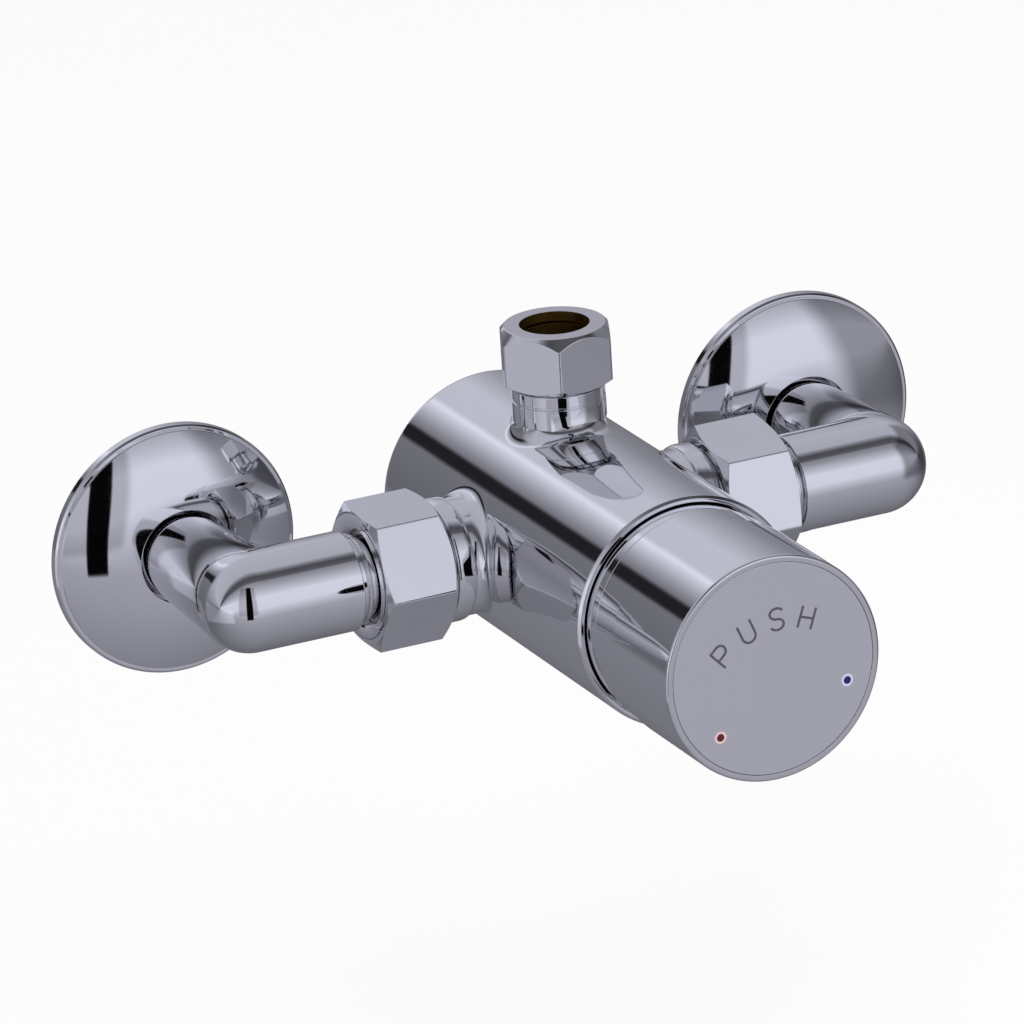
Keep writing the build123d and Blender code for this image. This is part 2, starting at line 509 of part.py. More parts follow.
# Mixing spool: a sleeve with one slot for hot and one for cold, turned by the spindle's square
with BuildPart() as mixing_spool:
    spool_radius = SPOOL_BORE_DIAMETER / 2 - RUNNING_FIT
    spool_back = SPOOL_BACK_Y - SEAT_GAP
    spool_front = spool_back - SPOOL_LENGTH
    revolve(section(Plane.XY, (0, spool_back), (spool_radius, spool_back), (spool_radius, spool_front),
                    (spool_radius - SPOOL_WALL, spool_front),
                    (spool_radius - SPOOL_WALL, spool_back - SPOOL_WEB),
                    (SPOOL_HUB_DIAMETER / 2, spool_back - SPOOL_WEB),
                    (SPOOL_HUB_DIAMETER / 2, SPOOL_HUB_FRONT_Y), (0, SPOOL_HUB_FRONT_Y)), axis=VALVE_AXIS)
    with BuildSketch(Plane(origin=(0, spool_back, 0), z_dir=(0, -1, 0))):
        Rectangle(SQUARE_DRIVE + 2 * RUNNING_FIT, SQUARE_DRIVE + 2 * RUNNING_FIT)
    extrude(amount=SPOOL_HUB_LENGTH + 1, mode=Mode.SUBTRACT)
    # Each slot runs from the middle of its window, so that one opens as the other closes
    for slot_y, start in ((HOT_Y, 180.0 + KNOB_TURN - SPOOL_SLOT_ANGLE), (COLD_Y, KNOB_TURN)):
        with BuildSketch(Plane(origin=(0, slot_y + SPOOL_SLOT_WIDTH / 2, 0), x_dir=(1, 0, 0),
                               z_dir=(0, -1, 0))):
            with BuildLine():
                reach = spool_radius + 3
                a, b = radians(start), radians(start + SPOOL_SLOT_ANGLE)
                inner = (SPOOL_HUB_DIAMETER / 2 + spool_radius - SPOOL_WALL) / 2
                CenterArc((0, 0), reach, start, SPOOL_SLOT_ANGLE)
                CenterArc((0, 0), inner, start, SPOOL_SLOT_ANGLE)
                Line((inner * cos(a), inner * sin(a)), (reach * cos(a), reach * sin(a)))
                Line((inner * cos(b), inner * sin(b)), (reach * cos(b), reach * sin(b)))
            make_face()
        extrude(amount=SPOOL_SLOT_WIDTH, mode=Mode.SUBTRACT)
save(mixing_spool, "mixing_spool")

# Spindle: square at the back for the spool, seal plate, stem, piston shoulder, the knob's square in front
square_front_y = SEAL_FRONT_Y + SEAL_THICKNESS + SEAL_PLATE
with BuildPart() as spindle:
    stem = SPINDLE_DIAMETER / 2
    front_stem = FRONT_SPINDLE_DIAMETER / 2
    revolve(section(Plane.XY, (0, square_front_y), (SEAL_DIAMETER / 2, square_front_y),
                    (SEAL_DIAMETER / 2, SEAL_FRONT_Y + SEAL_THICKNESS),
                    (stem, SEAL_FRONT_Y + SEAL_THICKNESS), (stem, PISTON_BACK_Y),
                    (front_stem, PISTON_BACK_Y), (front_stem, KNOB_HUB_REAR_Y), (0, KNOB_HUB_REAR_Y)),
            axis=VALVE_AXIS)
    with BuildSketch(Plane(origin=(0, SPINDLE_BACK_Y, 0), z_dir=(0, -1, 0))):
        Rectangle(SQUARE_DRIVE, SQUARE_DRIVE)
    extrude(amount=SPINDLE_BACK_Y - square_front_y)
    with BuildSketch(Plane(origin=(0, KNOB_HUB_REAR_Y, 0), z_dir=(0, -1, 0))):
        Rectangle(KNOB_SQUARE, KNOB_SQUARE)
    extrude(amount=KNOB_HUB_REAR_Y - SPINDLE_FRONT_Y)
    with BuildSketch(Plane(origin=(0, SPINDLE_FRONT_Y, 0), z_dir=(0, 1, 0))):
        Circle(SCREW_DIAMETER / 2)
    extrude(amount=SCREW_LENGTH, mode=Mode.SUBTRACT)
save(spindle, "spindle")

with BuildPart() as main_seal:
    revolve(ring_section(Plane.XY, SPINDLE_DIAMETER / 2, SEAL_DIAMETER / 2, SEAL_FRONT_Y,
                         SEAL_FRONT_Y + SEAL_THICKNESS), axis=VALVE_AXIS)
save(main_seal, "main_seal")

# Timing piston with its lip seal
with BuildPart() as timing_piston:
    piston_radius = TIMING_BORE_DIAMETER / 2 - RUNNING_FIT
    seal_floor = piston_radius - PISTON_SEAL_DEPTH
    seal_front_y = PISTON_FRONT_Y + (PISTON_LENGTH - PISTON_SEAL_WIDTH) / 2
    revolve(section(Plane.XY, (SPINDLE_DIAMETER / 2, PISTON_BACK_Y), (piston_radius, PISTON_BACK_Y),
                    (piston_radius, seal_front_y + PISTON_SEAL_WIDTH),
                    (seal_floor, seal_front_y + PISTON_SEAL_WIDTH), (seal_floor, seal_front_y),
                    (piston_radius, seal_front_y), (piston_radius, PISTON_FRONT_Y),
                    (FRONT_SPINDLE_DIAMETER / 2, PISTON_FRONT_Y),
                    (FRONT_SPINDLE_DIAMETER / 2, PISTON_BACK_Y)), axis=VALVE_AXIS)
save(timing_piston, "timing_piston")

with BuildPart() as piston_seal:
    lip = 0.5
    revolve(section(Plane.XY, (seal_floor, seal_front_y), (piston_radius - lip, seal_front_y),
                    (piston_radius, seal_front_y + PISTON_SEAL_WIDTH),
                    (piston_radius - lip, seal_front_y + PISTON_SEAL_WIDTH),
                    (piston_radius - 2 * lip, seal_front_y + PISTON_SEAL_WIDTH / 2),
                    (seal_floor + lip, seal_front_y + PISTON_SEAL_WIDTH),
                    (seal_floor, seal_front_y + PISTON_SEAL_WIDTH)), axis=VALVE_AXIS)
save(piston_seal, "piston_seal")

spring_height = TIMING_Y - PISTON_BACK_Y - 2 * SEAT_GAP
return_spring = coil(SPRING_DIAMETER / 2, SPRING_WIRE, SPRING_TURNS, spring_height,
                     (0, TIMING_Y - SEAT_GAP, 0), (0, -1, 0))
save(return_spring, "return_spring")

# Temperature stop: a ring on the cartridge tube with one raised arc; a rib in the knob meets its ends
stop_back_y = CAP_FRONT_Y + STOP_RING_LENGTH
bore_radius = KNOB_BAND_RADIUS - KNOB_WALL
ear_radius = bore_radius - STOP_EAR_GAP
bottom = 270.0 + KNOB_TURN  # where the knob's rib stands, seen from the front
with BuildPart() as stop_ring:
    with BuildSketch(Plane(origin=(0, stop_back_y, 0), x_dir=(1, 0, 0), z_dir=(0, -1, 0))):
        Circle(ear_radius)
        with BuildSketch(Plane.XY, mode=Mode.PRIVATE) as slot:
            with BuildLine():
                reach = 2 * ear_radius
                first = radians(270.0 - STOP_SLOT_ANGLE / 2)
                last = radians(270.0 + STOP_SLOT_ANGLE / 2)
                CenterArc((0, 0), reach, 270.0 - STOP_SLOT_ANGLE / 2, STOP_SLOT_ANGLE)
                Line((0, 0), (reach * cos(first), reach * sin(first)))
                Line((0, 0), (reach * cos(last), reach * sin(last)))
            make_face()
        add(slot.sketch, mode=Mode.SUBTRACT)
        Circle(tube_radius + STOP_RING_WALL)
        Circle(tube_radius + SEAT_GAP, mode=Mode.SUBTRACT)
    extrude(amount=STOP_RING_LENGTH - 0.8)
save(stop_ring, "stop_ring")

# Knob: a turned shell, closed in front, with a square hub and the stop rib
with BuildPart() as knob_shell:
    band_front_y = KNOB_REAR_Y - KNOB_BAND_LENGTH
    revolve(section(Plane.XY, (bore_radius, KNOB_REAR_Y), (KNOB_BAND_RADIUS - 0.3, KNOB_REAR_Y),
                    (KNOB_BAND_RADIUS, KNOB_REAR_Y - 0.3), (KNOB_BAND_RADIUS, band_front_y),
                    (KNOB_RADIUS, band_front_y - 0.4), (KNOB_RADIUS, KNOB_FACE_Y), (0, KNOB_FACE_Y),
                    (0, KNOB_INNER_Y), (bore_radius, KNOB_INNER_Y)), axis=VALVE_AXIS)
    fillet(knob_shell.edges().group_by(Axis.Y)[0], radius=KNOB_EDGE_FILLET)
    with BuildSketch(Plane(origin=(0, KNOB_HUB_REAR_Y, 0), z_dir=(0, -1, 0))):
        Circle(KNOB_HUB_DIAMETER / 2)
    extrude(amount=KNOB_HUB_REAR_Y - KNOB_INNER_Y + 0.5)
    with BuildSketch(Plane(origin=(0, KNOB_HUB_REAR_Y, 0), z_dir=(0, -1, 0))):
        Rectangle(KNOB_SQUARE + 2 * RUNNING_FIT, KNOB_SQUARE + 2 * RUNNING_FIT)
    extrude(amount=DRIVE_SOCKET_LENGTH + SEAT_GAP, mode=Mode.SUBTRACT)
    with BuildSketch(Plane(origin=(0, KNOB_FACE_Y, 0), z_dir=(0, 1, 0))):
        Circle(SCREW_HEAD_DIAMETER / 2 + 0.3)
    extrude(amount=HUB_WEB_FRONT_Y - KNOB_FACE_Y, mode=Mode.SUBTRACT)
    with BuildSketch(Plane(origin=(0, KNOB_FACE_Y, 0), z_dir=(0, 1, 0))):
        Circle(SCREW_DIAMETER / 2 + 0.1)
    extrude(amount=SPINDLE_FRONT_Y - KNOB_FACE_Y, mode=Mode.SUBTRACT)
    with BuildSketch(Plane(origin=(0, KNOB_FACE_Y, 0), z_dir=(0, 1, 0))):
        Circle(FACE_PLATE_RADIUS)
    extrude(amount=FACE_PLATE_THICKNESS, mode=Mode.SUBTRACT)
    # The rib reaches back between the stop ring's ears
    with BuildSketch(Plane(origin=(0, KNOB_INNER_Y - 0.5, 0), x_dir=(1, 0, 0), z_dir=(0, -1, 0))):
        with BuildLine():
            outer = ear_radius + STOP_RIB_OVERLAP
            inner = outer - STOP_RIB_DEPTH
            a, b = radians(bottom - STOP_RIB_ANGLE / 2), radians(bottom + STOP_RIB_ANGLE / 2)
            CenterArc((0, 0), outer, bottom - STOP_RIB_ANGLE / 2, STOP_RIB_ANGLE)
            CenterArc((0, 0), inner, bottom - STOP_RIB_ANGLE / 2, STOP_RIB_ANGLE)
            Line((inner * cos(a), inner * sin(a)), (outer * cos(a), outer * sin(a)))
            Line((inner * cos(b), inner * sin(b)), (outer * cos(b), outer * sin(b)))
        make_face()
    extrude(amount=-(stop_back_y - 1.0 - KNOB_INNER_Y + 0.5))
save(knob_shell, "knob_shell")

with BuildPart() as knob_sleeve:
    spigot_radius = bore_radius - RUNNING_FIT
    sleeve_bore = spigot_radius - 1.2
    revolve(section(Plane.XY, (sleeve_bore, LIP_Y + SLEEVE_INSERTION),
                    (SLEEVE_RADIUS - 0.5, LIP_Y + SLEEVE_INSERTION),
                    (SLEEVE_RADIUS, LIP_Y + SLEEVE_INSERTION - 0.5),
                    (SLEEVE_RADIUS, KNOB_REAR_Y + SLEEVE_GROOVE),
                    (SLEEVE_RADIUS - 0.7, KNOB_REAR_Y + SLEEVE_GROOVE),
                    (SLEEVE_RADIUS - 0.7, KNOB_REAR_Y), (spigot_radius, KNOB_REAR_Y),
                    (spigot_radius, KNOB_REAR_Y - SLEEVE_SPIGOT_LENGTH),
                    (sleeve_bore, KNOB_REAR_Y - SLEEVE_SPIGOT_LENGTH)), axis=VALVE_AXIS)
save(knob_sleeve, "knob_sleeve")

mark_angles = {"hot_mark": bottom - MARK_ANGLE, "cold_mark": bottom + MARK_ANGLE}
with BuildPart() as knob_face_plate:
    with BuildSketch(Plane(origin=(0, KNOB_FACE_Y, 0), z_dir=(0, 1, 0))):
        Circle(FACE_PLATE_RADIUS - RUNNING_FIT)
    extrude(amount=FACE_PLATE_THICKNESS)
    for angle in mark_angles.values():
        place = (MARK_RADIUS * cos(radians(angle)), KNOB_FACE_Y, MARK_RADIUS * sin(radians(angle)))
        with BuildSketch(Plane(origin=place, z_dir=(0, 1, 0))):
            Circle(MARK_DIAMETER / 2)
        extrude(amount=MARK_DEPTH, mode=Mode.SUBTRACT)
save(knob_face_plate, "knob_face_plate")

for mark_name, angle in mark_angles.items():
    place = (MARK_RADIUS * cos(radians(angle)), KNOB_FACE_Y, MARK_RADIUS * sin(radians(angle)))
    with BuildPart() as mark:
        with BuildSketch(Plane(origin=place, z_dir=(0, 1, 0))):
            Circle(MARK_DIAMETER / 2)
        extrude(amount=MARK_DEPTH)
    save(mark, mark_name)

with BuildPart() as knob_screw:
    head_y = HUB_WEB_FRONT_Y
    revolve(section(Plane.XY, (0, head_y - SCREW_HEAD_LENGTH),
                    (SCREW_HEAD_DIAMETER / 2 - 0.4, head_y - SCREW_HEAD_LENGTH),
                    (SCREW_HEAD_DIAMETER / 2, head_y - SCREW_HEAD_LENGTH + 0.6),
                    (SCREW_HEAD_DIAMETER / 2, head_y), (SCREW_DIAMETER / 2 - RUNNING_FIT, head_y),
                    (SCREW_DIAMETER / 2 - RUNNING_FIT, head_y + SCREW_LENGTH),
                    (0, head_y + SCREW_LENGTH)), axis=VALVE_AXIS)
    with BuildSketch(Plane(origin=(0, head_y - SCREW_HEAD_LENGTH, 0), z_dir=(0, 1, 0))):
        RegularPolygon(1.4, 6)
    extrude(amount=1.6, mode=Mode.SUBTRACT)
save(knob_screw, "knob_screw")

# Side groups: the same pieces on both sides, mirrored by the sign of the side
for name, side in SIDES.items():
    nut_end = NUT_START + NUT_LENGTH
    web_face = nut_end - NUT_WEB
    washer_face = PORT_FACE + WASHER_THICKNESS
    ring_start = web_face - NUT_RING_WIDTH - SEAT_GAP
    ring_outer = GROOVE_DIAMETER / 2 + NUT_RING_SECTION

    with BuildPart() as union_nut:
        corner_radius = NUT_ACROSS_FLATS / sqrt(3)
        with BuildSketch(Plane(origin=(side * NUT_START, INLET_Y, 0), x_dir=(0, 1, 0), z_dir=(1, 0, 0))):
            RegularPolygon(corner_radius, 6, rotation=NUT_TURNS[name])
        extrude(amount=side * NUT_LENGTH)
        flat = NUT_ACROSS_FLATS / 2
        revolve(section(PORT_PLANE, (side * NUT_START, 0), (side * NUT_START, flat - 0.2),
                        (side * (NUT_START + NUT_CORNER_CHAMFER), corner_radius + 0.1),
                        (side * (nut_end - 0.8), corner_radius + 0.1), (side * nut_end, flat + 0.6),
                        (side * nut_end, 0)), axis=PORT_AXIS, mode=Mode.INTERSECT)
        thread = UNION_THREAD_DIAMETER / 2 + RUNNING_FIT
        revolve(section(PORT_PLANE, (side * (NUT_START - 1), 0), (side * (NUT_START - 1), thread + 0.8),
                        (side * NUT_START, thread + 0.8), (side * (NUT_START + 0.8), thread),
                        (side * web_face, thread), (side * web_face, NUT_WEB_HOLE_DIAMETER / 2),
                        (side * (nut_end - NUT_MOUTH_DEPTH), NUT_WEB_HOLE_DIAMETER / 2),
                        (side * nut_end, NUT_MOUTH_DIAMETER / 2),
                        (side * (nut_end + 1), NUT_MOUTH_DIAMETER / 2), (side * (nut_end + 1), 0)),
                axis=PORT_AXIS, mode=Mode.SUBTRACT)
    save(union_nut, f"{name}_union_nut")

    with BuildPart() as union_washer:
        revolve(side_ring_section(side, WASHER_HOLE_DIAMETER / 2, ring_outer, PORT_FACE, washer_face),
                axis=PORT_AXIS)
    save(union_washer, f"{name}_union_washer")

    # A fine screen in the washer's hole
    with BuildPart() as inlet_filter:
        filter_radius = WASHER_HOLE_DIAMETER / 2 - RUNNING_FIT
        revolve(side_ring_section(side, 0, filter_radius, washer_face - FILTER_THICKNESS, washer_face),
                axis=PORT_AXIS)
        with BuildSketch(Plane(origin=(side * washer_face, INLET_Y, 0), z_dir=(-side, 0, 0))):
            with HexLocations(FILTER_HOLE_PITCH / 2, 3, 3):
                Circle(FILTER_HOLE_DIAMETER / 2)
        extrude(amount=FILTER_THICKNESS, mode=Mode.SUBTRACT)
    save(inlet_filter, f"{name}_inlet_filter")

    # Split ring that carries the nut on the elbow
    with BuildPart() as nut_ring:
        revolve(side_ring_section(side, GROOVE_DIAMETER / 2 + RUNNING_FIT, ring_outer, ring_start,
                                  ring_start + NUT_RING_WIDTH), axis=PORT_AXIS)
        with BuildSketch(Plane(origin=(side * ring_start, INLET_Y, 0), x_dir=(0, 1, 0),
                               z_dir=(side, 0, 0))):
            with Locations((0, -ring_outer)):
                Rectangle(NUT_RING_GAP, ring_outer * 1.4)
        extrude(amount=NUT_RING_WIDTH, mode=Mode.SUBTRACT)
    save(nut_ring, f"{name}_nut_ring")

    # Check valve: cage with seat and guide, poppet, and a light spring between them
    cage_outer_face = PORT_FACE - SEAT_GAP
    cage_inner_face = cage_outer_face - CAGE_LENGTH
    seat_face = cage_outer_face - CAGE_SEAT_THICKNESS
    cage_radius = PORT_BORE_DIAMETER / 2 - RUNNING_FIT
    with BuildPart() as check_valve_cage:
        revolve(section(PORT_PLANE, (side * cage_outer_face, CAGE_SEAT_HOLE_DIAMETER / 2),
                        (side * cage_outer_face, cage_radius), (side * cage_inner_face, cage_radius),
                        (side * cage_inner_face, cage_radius - CAGE_WALL),
                        (side * seat_face, cage_radius - CAGE_WALL),
                        (side * seat_face, CAGE_SEAT_HOLE_DIAMETER / 2)), axis=PORT_AXIS)
        with BuildSketch(Plane(origin=(side * cage_inner_face, INLET_Y, 0), z_dir=(side, 0, 0))):
            Circle(CAGE_HUB_DIAMETER / 2)
            with PolarLocations(0, 3):
                Rectangle(cage_radius - CAGE_WALL / 2, CAGE_RIB, align=(Align.MIN, Align.CENTER))
            Circle(POPPET_STEM_DIAMETER / 2 + RUNNING_FIT, mode=Mode.SUBTRACT)
        extrude(amount=CAGE_RIB)
    save(check_valve_cage, f"{name}_check_valve_cage")

    poppet_face = seat_face - RUNNING_FIT
    poppet_back = poppet_face - POPPET_THICKNESS
    with BuildPart() as check_valve_poppet:
        revolve(section(PORT_PLANE, (side * (poppet_face + 1.0), 0),
                        (side * (poppet_face + 1.0), CAGE_SEAT_HOLE_DIAMETER / 4),
                        (side * poppet_face, CAGE_SEAT_HOLE_DIAMETER / 2 - 0.4),
                        (side * poppet_face, POPPET_DIAMETER / 2),
                        (side * poppet_back, POPPET_DIAMETER / 2),
                        (side * poppet_back, POPPET_STEM_DIAMETER / 2),
                        (side * (cage_inner_face + 0.2), POPPET_STEM_DIAMETER / 2),
                        (side * (cage_inner_face + 0.2), 0)), axis=PORT_AXIS)
    save(check_valve_poppet, f"{name}_check_valve_poppet")

    check_spring_height = poppet_back - (cage_inner_face + CAGE_RIB) - 2 * RUNNING_FIT
    check_valve_spring = coil(CHECK_SPRING_DIAMETER / 2, CHECK_SPRING_WIRE, CHECK_SPRING_TURNS,
                              check_spring_height, (side * (poppet_back - RUNNING_FIT), INLET_Y, 0),
                              (-side, 0, 0))
    save(check_valve_spring, f"{name}_check_valve_spring")

    # Elbow: arm to the union, ball corner, arm to the wall, the flange's collar and the threaded tail
    elbow_x = side * INLET_CENTRES / 2
    wall_plane = Plane(origin=(elbow_x, 0, 0), x_dir=(1, 0, 0), z_dir=(0, 0, 1))
    wall_axis = Axis((elbow_x, 0, 0), (0, 1, 0))
    with BuildPart() as elbow:
        arm = ARM_DIAMETER / 2
        neck = NECK_DIAMETER / 2
        revolve(section(PORT_PLANE, (elbow_x, 0), (elbow_x, arm),
                        (side * (ARM_SHOULDER + ARM_CHAMFER), arm),
                        (side * ARM_SHOULDER, arm - ARM_CHAMFER), (side * ARM_SHOULDER, neck),
                        (side * (BEAD_START + BEAD_LENGTH), neck),
                        (side * (BEAD_START + BEAD_LENGTH - 0.2), BEAD_DIAMETER / 2),
                        (side * (BEAD_START + 0.2), BEAD_DIAMETER / 2), (side * BEAD_START, neck),
                        (side * (ring_start + NUT_RING_WIDTH + SEAT_GAP), neck),
                        (side * (ring_start + NUT_RING_WIDTH + SEAT_GAP), GROOVE_DIAMETER / 2),
                        (side * (ring_start - SEAT_GAP), GROOVE_DIAMETER / 2),
                        (side * (ring_start - SEAT_GAP), neck), (side * washer_face, neck),
                        (side * washer_face, 0)), axis=PORT_AXIS)
        with Locations((elbow_x, INLET_Y, 0)):
            Sphere(arm)
        wall_arm = WALL_ARM_DIAMETER / 2
        collar = TAIL_COLLAR_DIAMETER / 2
        runout = RUNOUT_WIDTH / 2
        collar_start = -runout - TAIL_COLLAR_LENGTH
        tail = TAIL_THREAD_DIAMETER / 2
        revolve(section(wall_plane, (0, INLET_Y), (wall_arm, INLET_Y), (wall_arm, collar_start - 1.0),
                        (collar, collar_start), (collar, -runout), (RUNOUT_DIAMETER / 2, -runout),
                        (RUNOUT_DIAMETER / 2, runout), (tail, runout), (tail, TAIL_LENGTH - TAIL_CHAMFER),
                        (tail - TAIL_CHAMFER, TAIL_LENGTH), (0, TAIL_LENGTH)), axis=wall_axis)
        inner_mitre = elbow.edges().filter_by(GeomType.BSPLINE)
        fillet(inner_mitre, radius=ELBOW_INNER_FILLET)
        waterway = WATERWAY_DIAMETER / 2
        revolve(section(PORT_PLANE, (elbow_x, 0), (elbow_x, waterway),
                        (side * (washer_face - 1), waterway), (side * (washer_face - 1), 0)),
                axis=PORT_AXIS, mode=Mode.SUBTRACT)
        with Locations((elbow_x, INLET_Y, 0)):
            Sphere(waterway, mode=Mode.SUBTRACT)
        revolve(section(wall_plane, (0, INLET_Y), (waterway, INLET_Y), (waterway, TAIL_LENGTH + 1),
                        (0, TAIL_LENGTH + 1)), axis=wall_axis, mode=Mode.SUBTRACT)
    save(elbow, f"{name}_elbow")

    # Wall flange: a thin domed cover pushed on the elbow's collar by its hub
    with BuildPart() as wall_flange:
        rim = FLANGE_DIAMETER / 2
        hole = FLANGE_HOLE_DIAMETER / 2
        hub_bore = collar + RUNNING_FIT
        dome_edge = rim - FLANGE_RIM_WIDTH
        dome_start = FLANGE_RIM_HEIGHT + FLANGE_RIM_STEP
        middle = ((dome_edge + hole) / 2, -(dome_start + FLANGE_HEIGHT) / 2 - FLANGE_BULGE)
        inner_middle = (middle[0] - 0.3, middle[1] + FLANGE_SHEET)
        with BuildSketch(wall_plane):
            with BuildLine():
                Polyline((rim, 0), (rim, -FLANGE_RIM_HEIGHT + 0.5), (rim - 0.5, -FLANGE_RIM_HEIGHT),
                         (dome_edge, -FLANGE_RIM_HEIGHT), (dome_edge, -dome_start))
                ThreePointArc((dome_edge, -dome_start), middle, (hole, -FLANGE_HEIGHT))
                hub = FLANGE_HUB_DIAMETER / 2
                hub_front = -FLANGE_HEIGHT + FLANGE_SHEET + 0.5
                Polyline((hole, -FLANGE_HEIGHT), (hole, -FLANGE_HUB_LENGTH), (hub_bore, -FLANGE_HUB_LENGTH),
                         (hub_bore, 0), (hub, 0), (hub, hub_front))
                ThreePointArc((hub, hub_front), inner_middle, (dome_edge - FLANGE_SHEET, 0))
                Line((dome_edge - FLANGE_SHEET, 0), (rim, 0))
            make_face()
        revolve(axis=wall_axis)
    save(wall_flange, f"{name}_wall_flange")

# Outlet: olive and compression nut, both on the pipe's axis
olive_bottom = OUTLET_THREAD_END - 0.9
olive_top = olive_bottom + OLIVE_LENGTH - 1.5
pipe = PIPE_BORE_DIAMETER / 2
with BuildPart() as outlet_olive:
    middle_height = (olive_bottom + olive_top) / 2 + 0.3
    revolve(section(OUTLET_PLANE, (pipe, olive_bottom), (pipe + 0.25, olive_bottom),
                    (OLIVE_DIAMETER / 2 - 0.1, middle_height - 0.5),
                    (OLIVE_DIAMETER / 2 - 0.1, middle_height + 0.5), (pipe + 0.3, olive_top),
                    (pipe, olive_top)), axis=OUTLET_AXIS)
save(outlet_olive, "outlet_olive")

with BuildPart() as outlet_nut:
    outlet_corner = OUTLET_NUT_ACROSS_FLATS / sqrt(3)
    outlet_flat = OUTLET_NUT_ACROSS_FLATS / 2
    nut_top = OUTLET_NUT_BOTTOM + OUTLET_NUT_HEIGHT
    web_bottom = nut_top - OUTLET_NUT_WEB
    outlet_thread = OUTLET_THREAD_DIAMETER / 2 + RUNNING_FIT
    with BuildSketch(Plane(origin=(0, INLET_Y, OUTLET_NUT_BOTTOM), x_dir=(1, 0, 0), z_dir=(0, 0, 1))):
        RegularPolygon(outlet_corner, 6)
    extrude(amount=OUTLET_NUT_HEIGHT)
    revolve(section(OUTLET_PLANE, (0, OUTLET_NUT_BOTTOM), (outlet_flat - 0.2, OUTLET_NUT_BOTTOM),
                    (outlet_corner + 0.1, OUTLET_NUT_BOTTOM + OUTLET_NUT_CHAMFER * 0.7),
                    (outlet_corner + 0.1, nut_top - OUTLET_NUT_CHAMFER), (outlet_flat - 0.3, nut_top),
                    (0, nut_top)), axis=OUTLET_AXIS, mode=Mode.INTERSECT)
    revolve(section(OUTLET_PLANE, (0, OUTLET_NUT_BOTTOM - 1), (outlet_thread, OUTLET_NUT_BOTTOM - 1),
                    (outlet_thread, web_bottom - 1.6), (OLIVE_DIAMETER / 2, web_bottom - 1.6),
                    (pipe + 0.4, web_bottom), (pipe, web_bottom), (pipe, nut_top + 1), (0, nut_top + 1)),
            axis=OUTLET_AXIS, mode=Mode.SUBTRACT)
save(outlet_nut, "outlet_nut")
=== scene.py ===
"""Timed shower mixer: turned, cast and plated surfaces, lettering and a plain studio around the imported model.

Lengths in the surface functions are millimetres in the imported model's frame: +X right, +Y into the wall, +Z up.
"""
import json
from math import degrees, pi, radians, sqrt
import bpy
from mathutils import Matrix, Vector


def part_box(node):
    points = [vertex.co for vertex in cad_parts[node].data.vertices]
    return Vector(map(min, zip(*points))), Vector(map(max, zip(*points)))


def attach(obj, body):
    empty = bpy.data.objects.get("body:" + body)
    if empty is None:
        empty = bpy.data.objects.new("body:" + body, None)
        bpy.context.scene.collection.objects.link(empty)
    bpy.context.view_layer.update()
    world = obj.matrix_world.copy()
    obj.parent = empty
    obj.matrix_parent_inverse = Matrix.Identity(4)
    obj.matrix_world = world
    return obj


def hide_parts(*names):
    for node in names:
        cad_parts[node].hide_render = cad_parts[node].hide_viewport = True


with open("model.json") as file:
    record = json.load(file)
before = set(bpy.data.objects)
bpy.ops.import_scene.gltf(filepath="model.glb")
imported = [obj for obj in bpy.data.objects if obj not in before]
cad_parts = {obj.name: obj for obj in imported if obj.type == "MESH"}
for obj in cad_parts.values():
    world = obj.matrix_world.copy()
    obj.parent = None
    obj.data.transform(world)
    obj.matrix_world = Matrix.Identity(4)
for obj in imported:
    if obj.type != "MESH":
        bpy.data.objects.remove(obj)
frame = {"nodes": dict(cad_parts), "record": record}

from types import SimpleNamespace

import bmesh
import bpy
import numpy as np
from bpy.props import FloatProperty, FloatVectorProperty, PointerProperty
from mathutils import Matrix, Vector

bl_info = {
    "name": "Timed shower mixer",
    "version": (1, 0, 0),
    "blender": (4, 5, 0),
    "location": "3D View > Sidebar > Mixer",
    "description": "Dresses a self-closing shower mixer with its plated, satin and brass finishes",
    "category": "Object",
}

MM = 0.001
NODES = frame["nodes"]
SIDES = {"left": -1, "right": 1}
RIGHTWARD, WALLWARD, UPWARD = np.eye(3)
NUT_TURNS = {"left": 4.0, "right": 13.5}  # degrees by which each tightened hexagon stands off its corner
OUTLET_NUT_TURN = 8.0  # the same for the outlet's hexagon
KNOB_TURN = 12.0  # degrees that the knob stands turned from its middle setting


def node_box(name):
    """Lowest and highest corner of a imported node, in millimetres."""
    low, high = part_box(name)
    return np.array(low) / MM, np.array(high) / MM


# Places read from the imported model
BODY_LOW, BODY_HIGH = node_box("valve_body")
BARREL = -BODY_LOW[2]
PORT_FACE = BODY_HIGH[0]
THREAD_TOP = BODY_HIGH[2]
LIP_Y = BODY_LOW[1]
BODY_BACK_Y = BODY_HIGH[1]
ELBOW_LOW, ELBOW_HIGH = node_box("right_elbow")
ARM = ELBOW_HIGH[2]
ARM_END = ELBOW_LOW[0]
TAIL_END_Y = ELBOW_HIGH[1]
INLET_Y = ELBOW_LOW[1] + ARM
INLET_CENTRE = INLET_Y * WALLWARD
FLANGE_LOW, FLANGE_HIGH = node_box("right_wall_flange")
FLANGE = FLANGE_HIGH[2]
FLANGE_FRONT_Y = FLANGE_LOW[1]
ELBOW_X = FLANGE_HIGH[0] - FLANGE
KNOB_LOW, KNOB_HIGH = node_box("knob_shell")
KNOB = KNOB_HIGH[0]
KNOB_FACE_Y = KNOB_LOW[1]
SLEEVE_LOW, SLEEVE_HIGH = node_box("knob_sleeve")


# Sizes and colours that a user would change


def length(name, description, default):
    """A length kept in metres, with its default given in millimetres."""
    return FloatProperty(name=name, description=description, default=default * MM, unit="LENGTH", precision=5)


def colour(name, description, default):
    return FloatVectorProperty(name=name, description=description, subtype="COLOR", default=default)


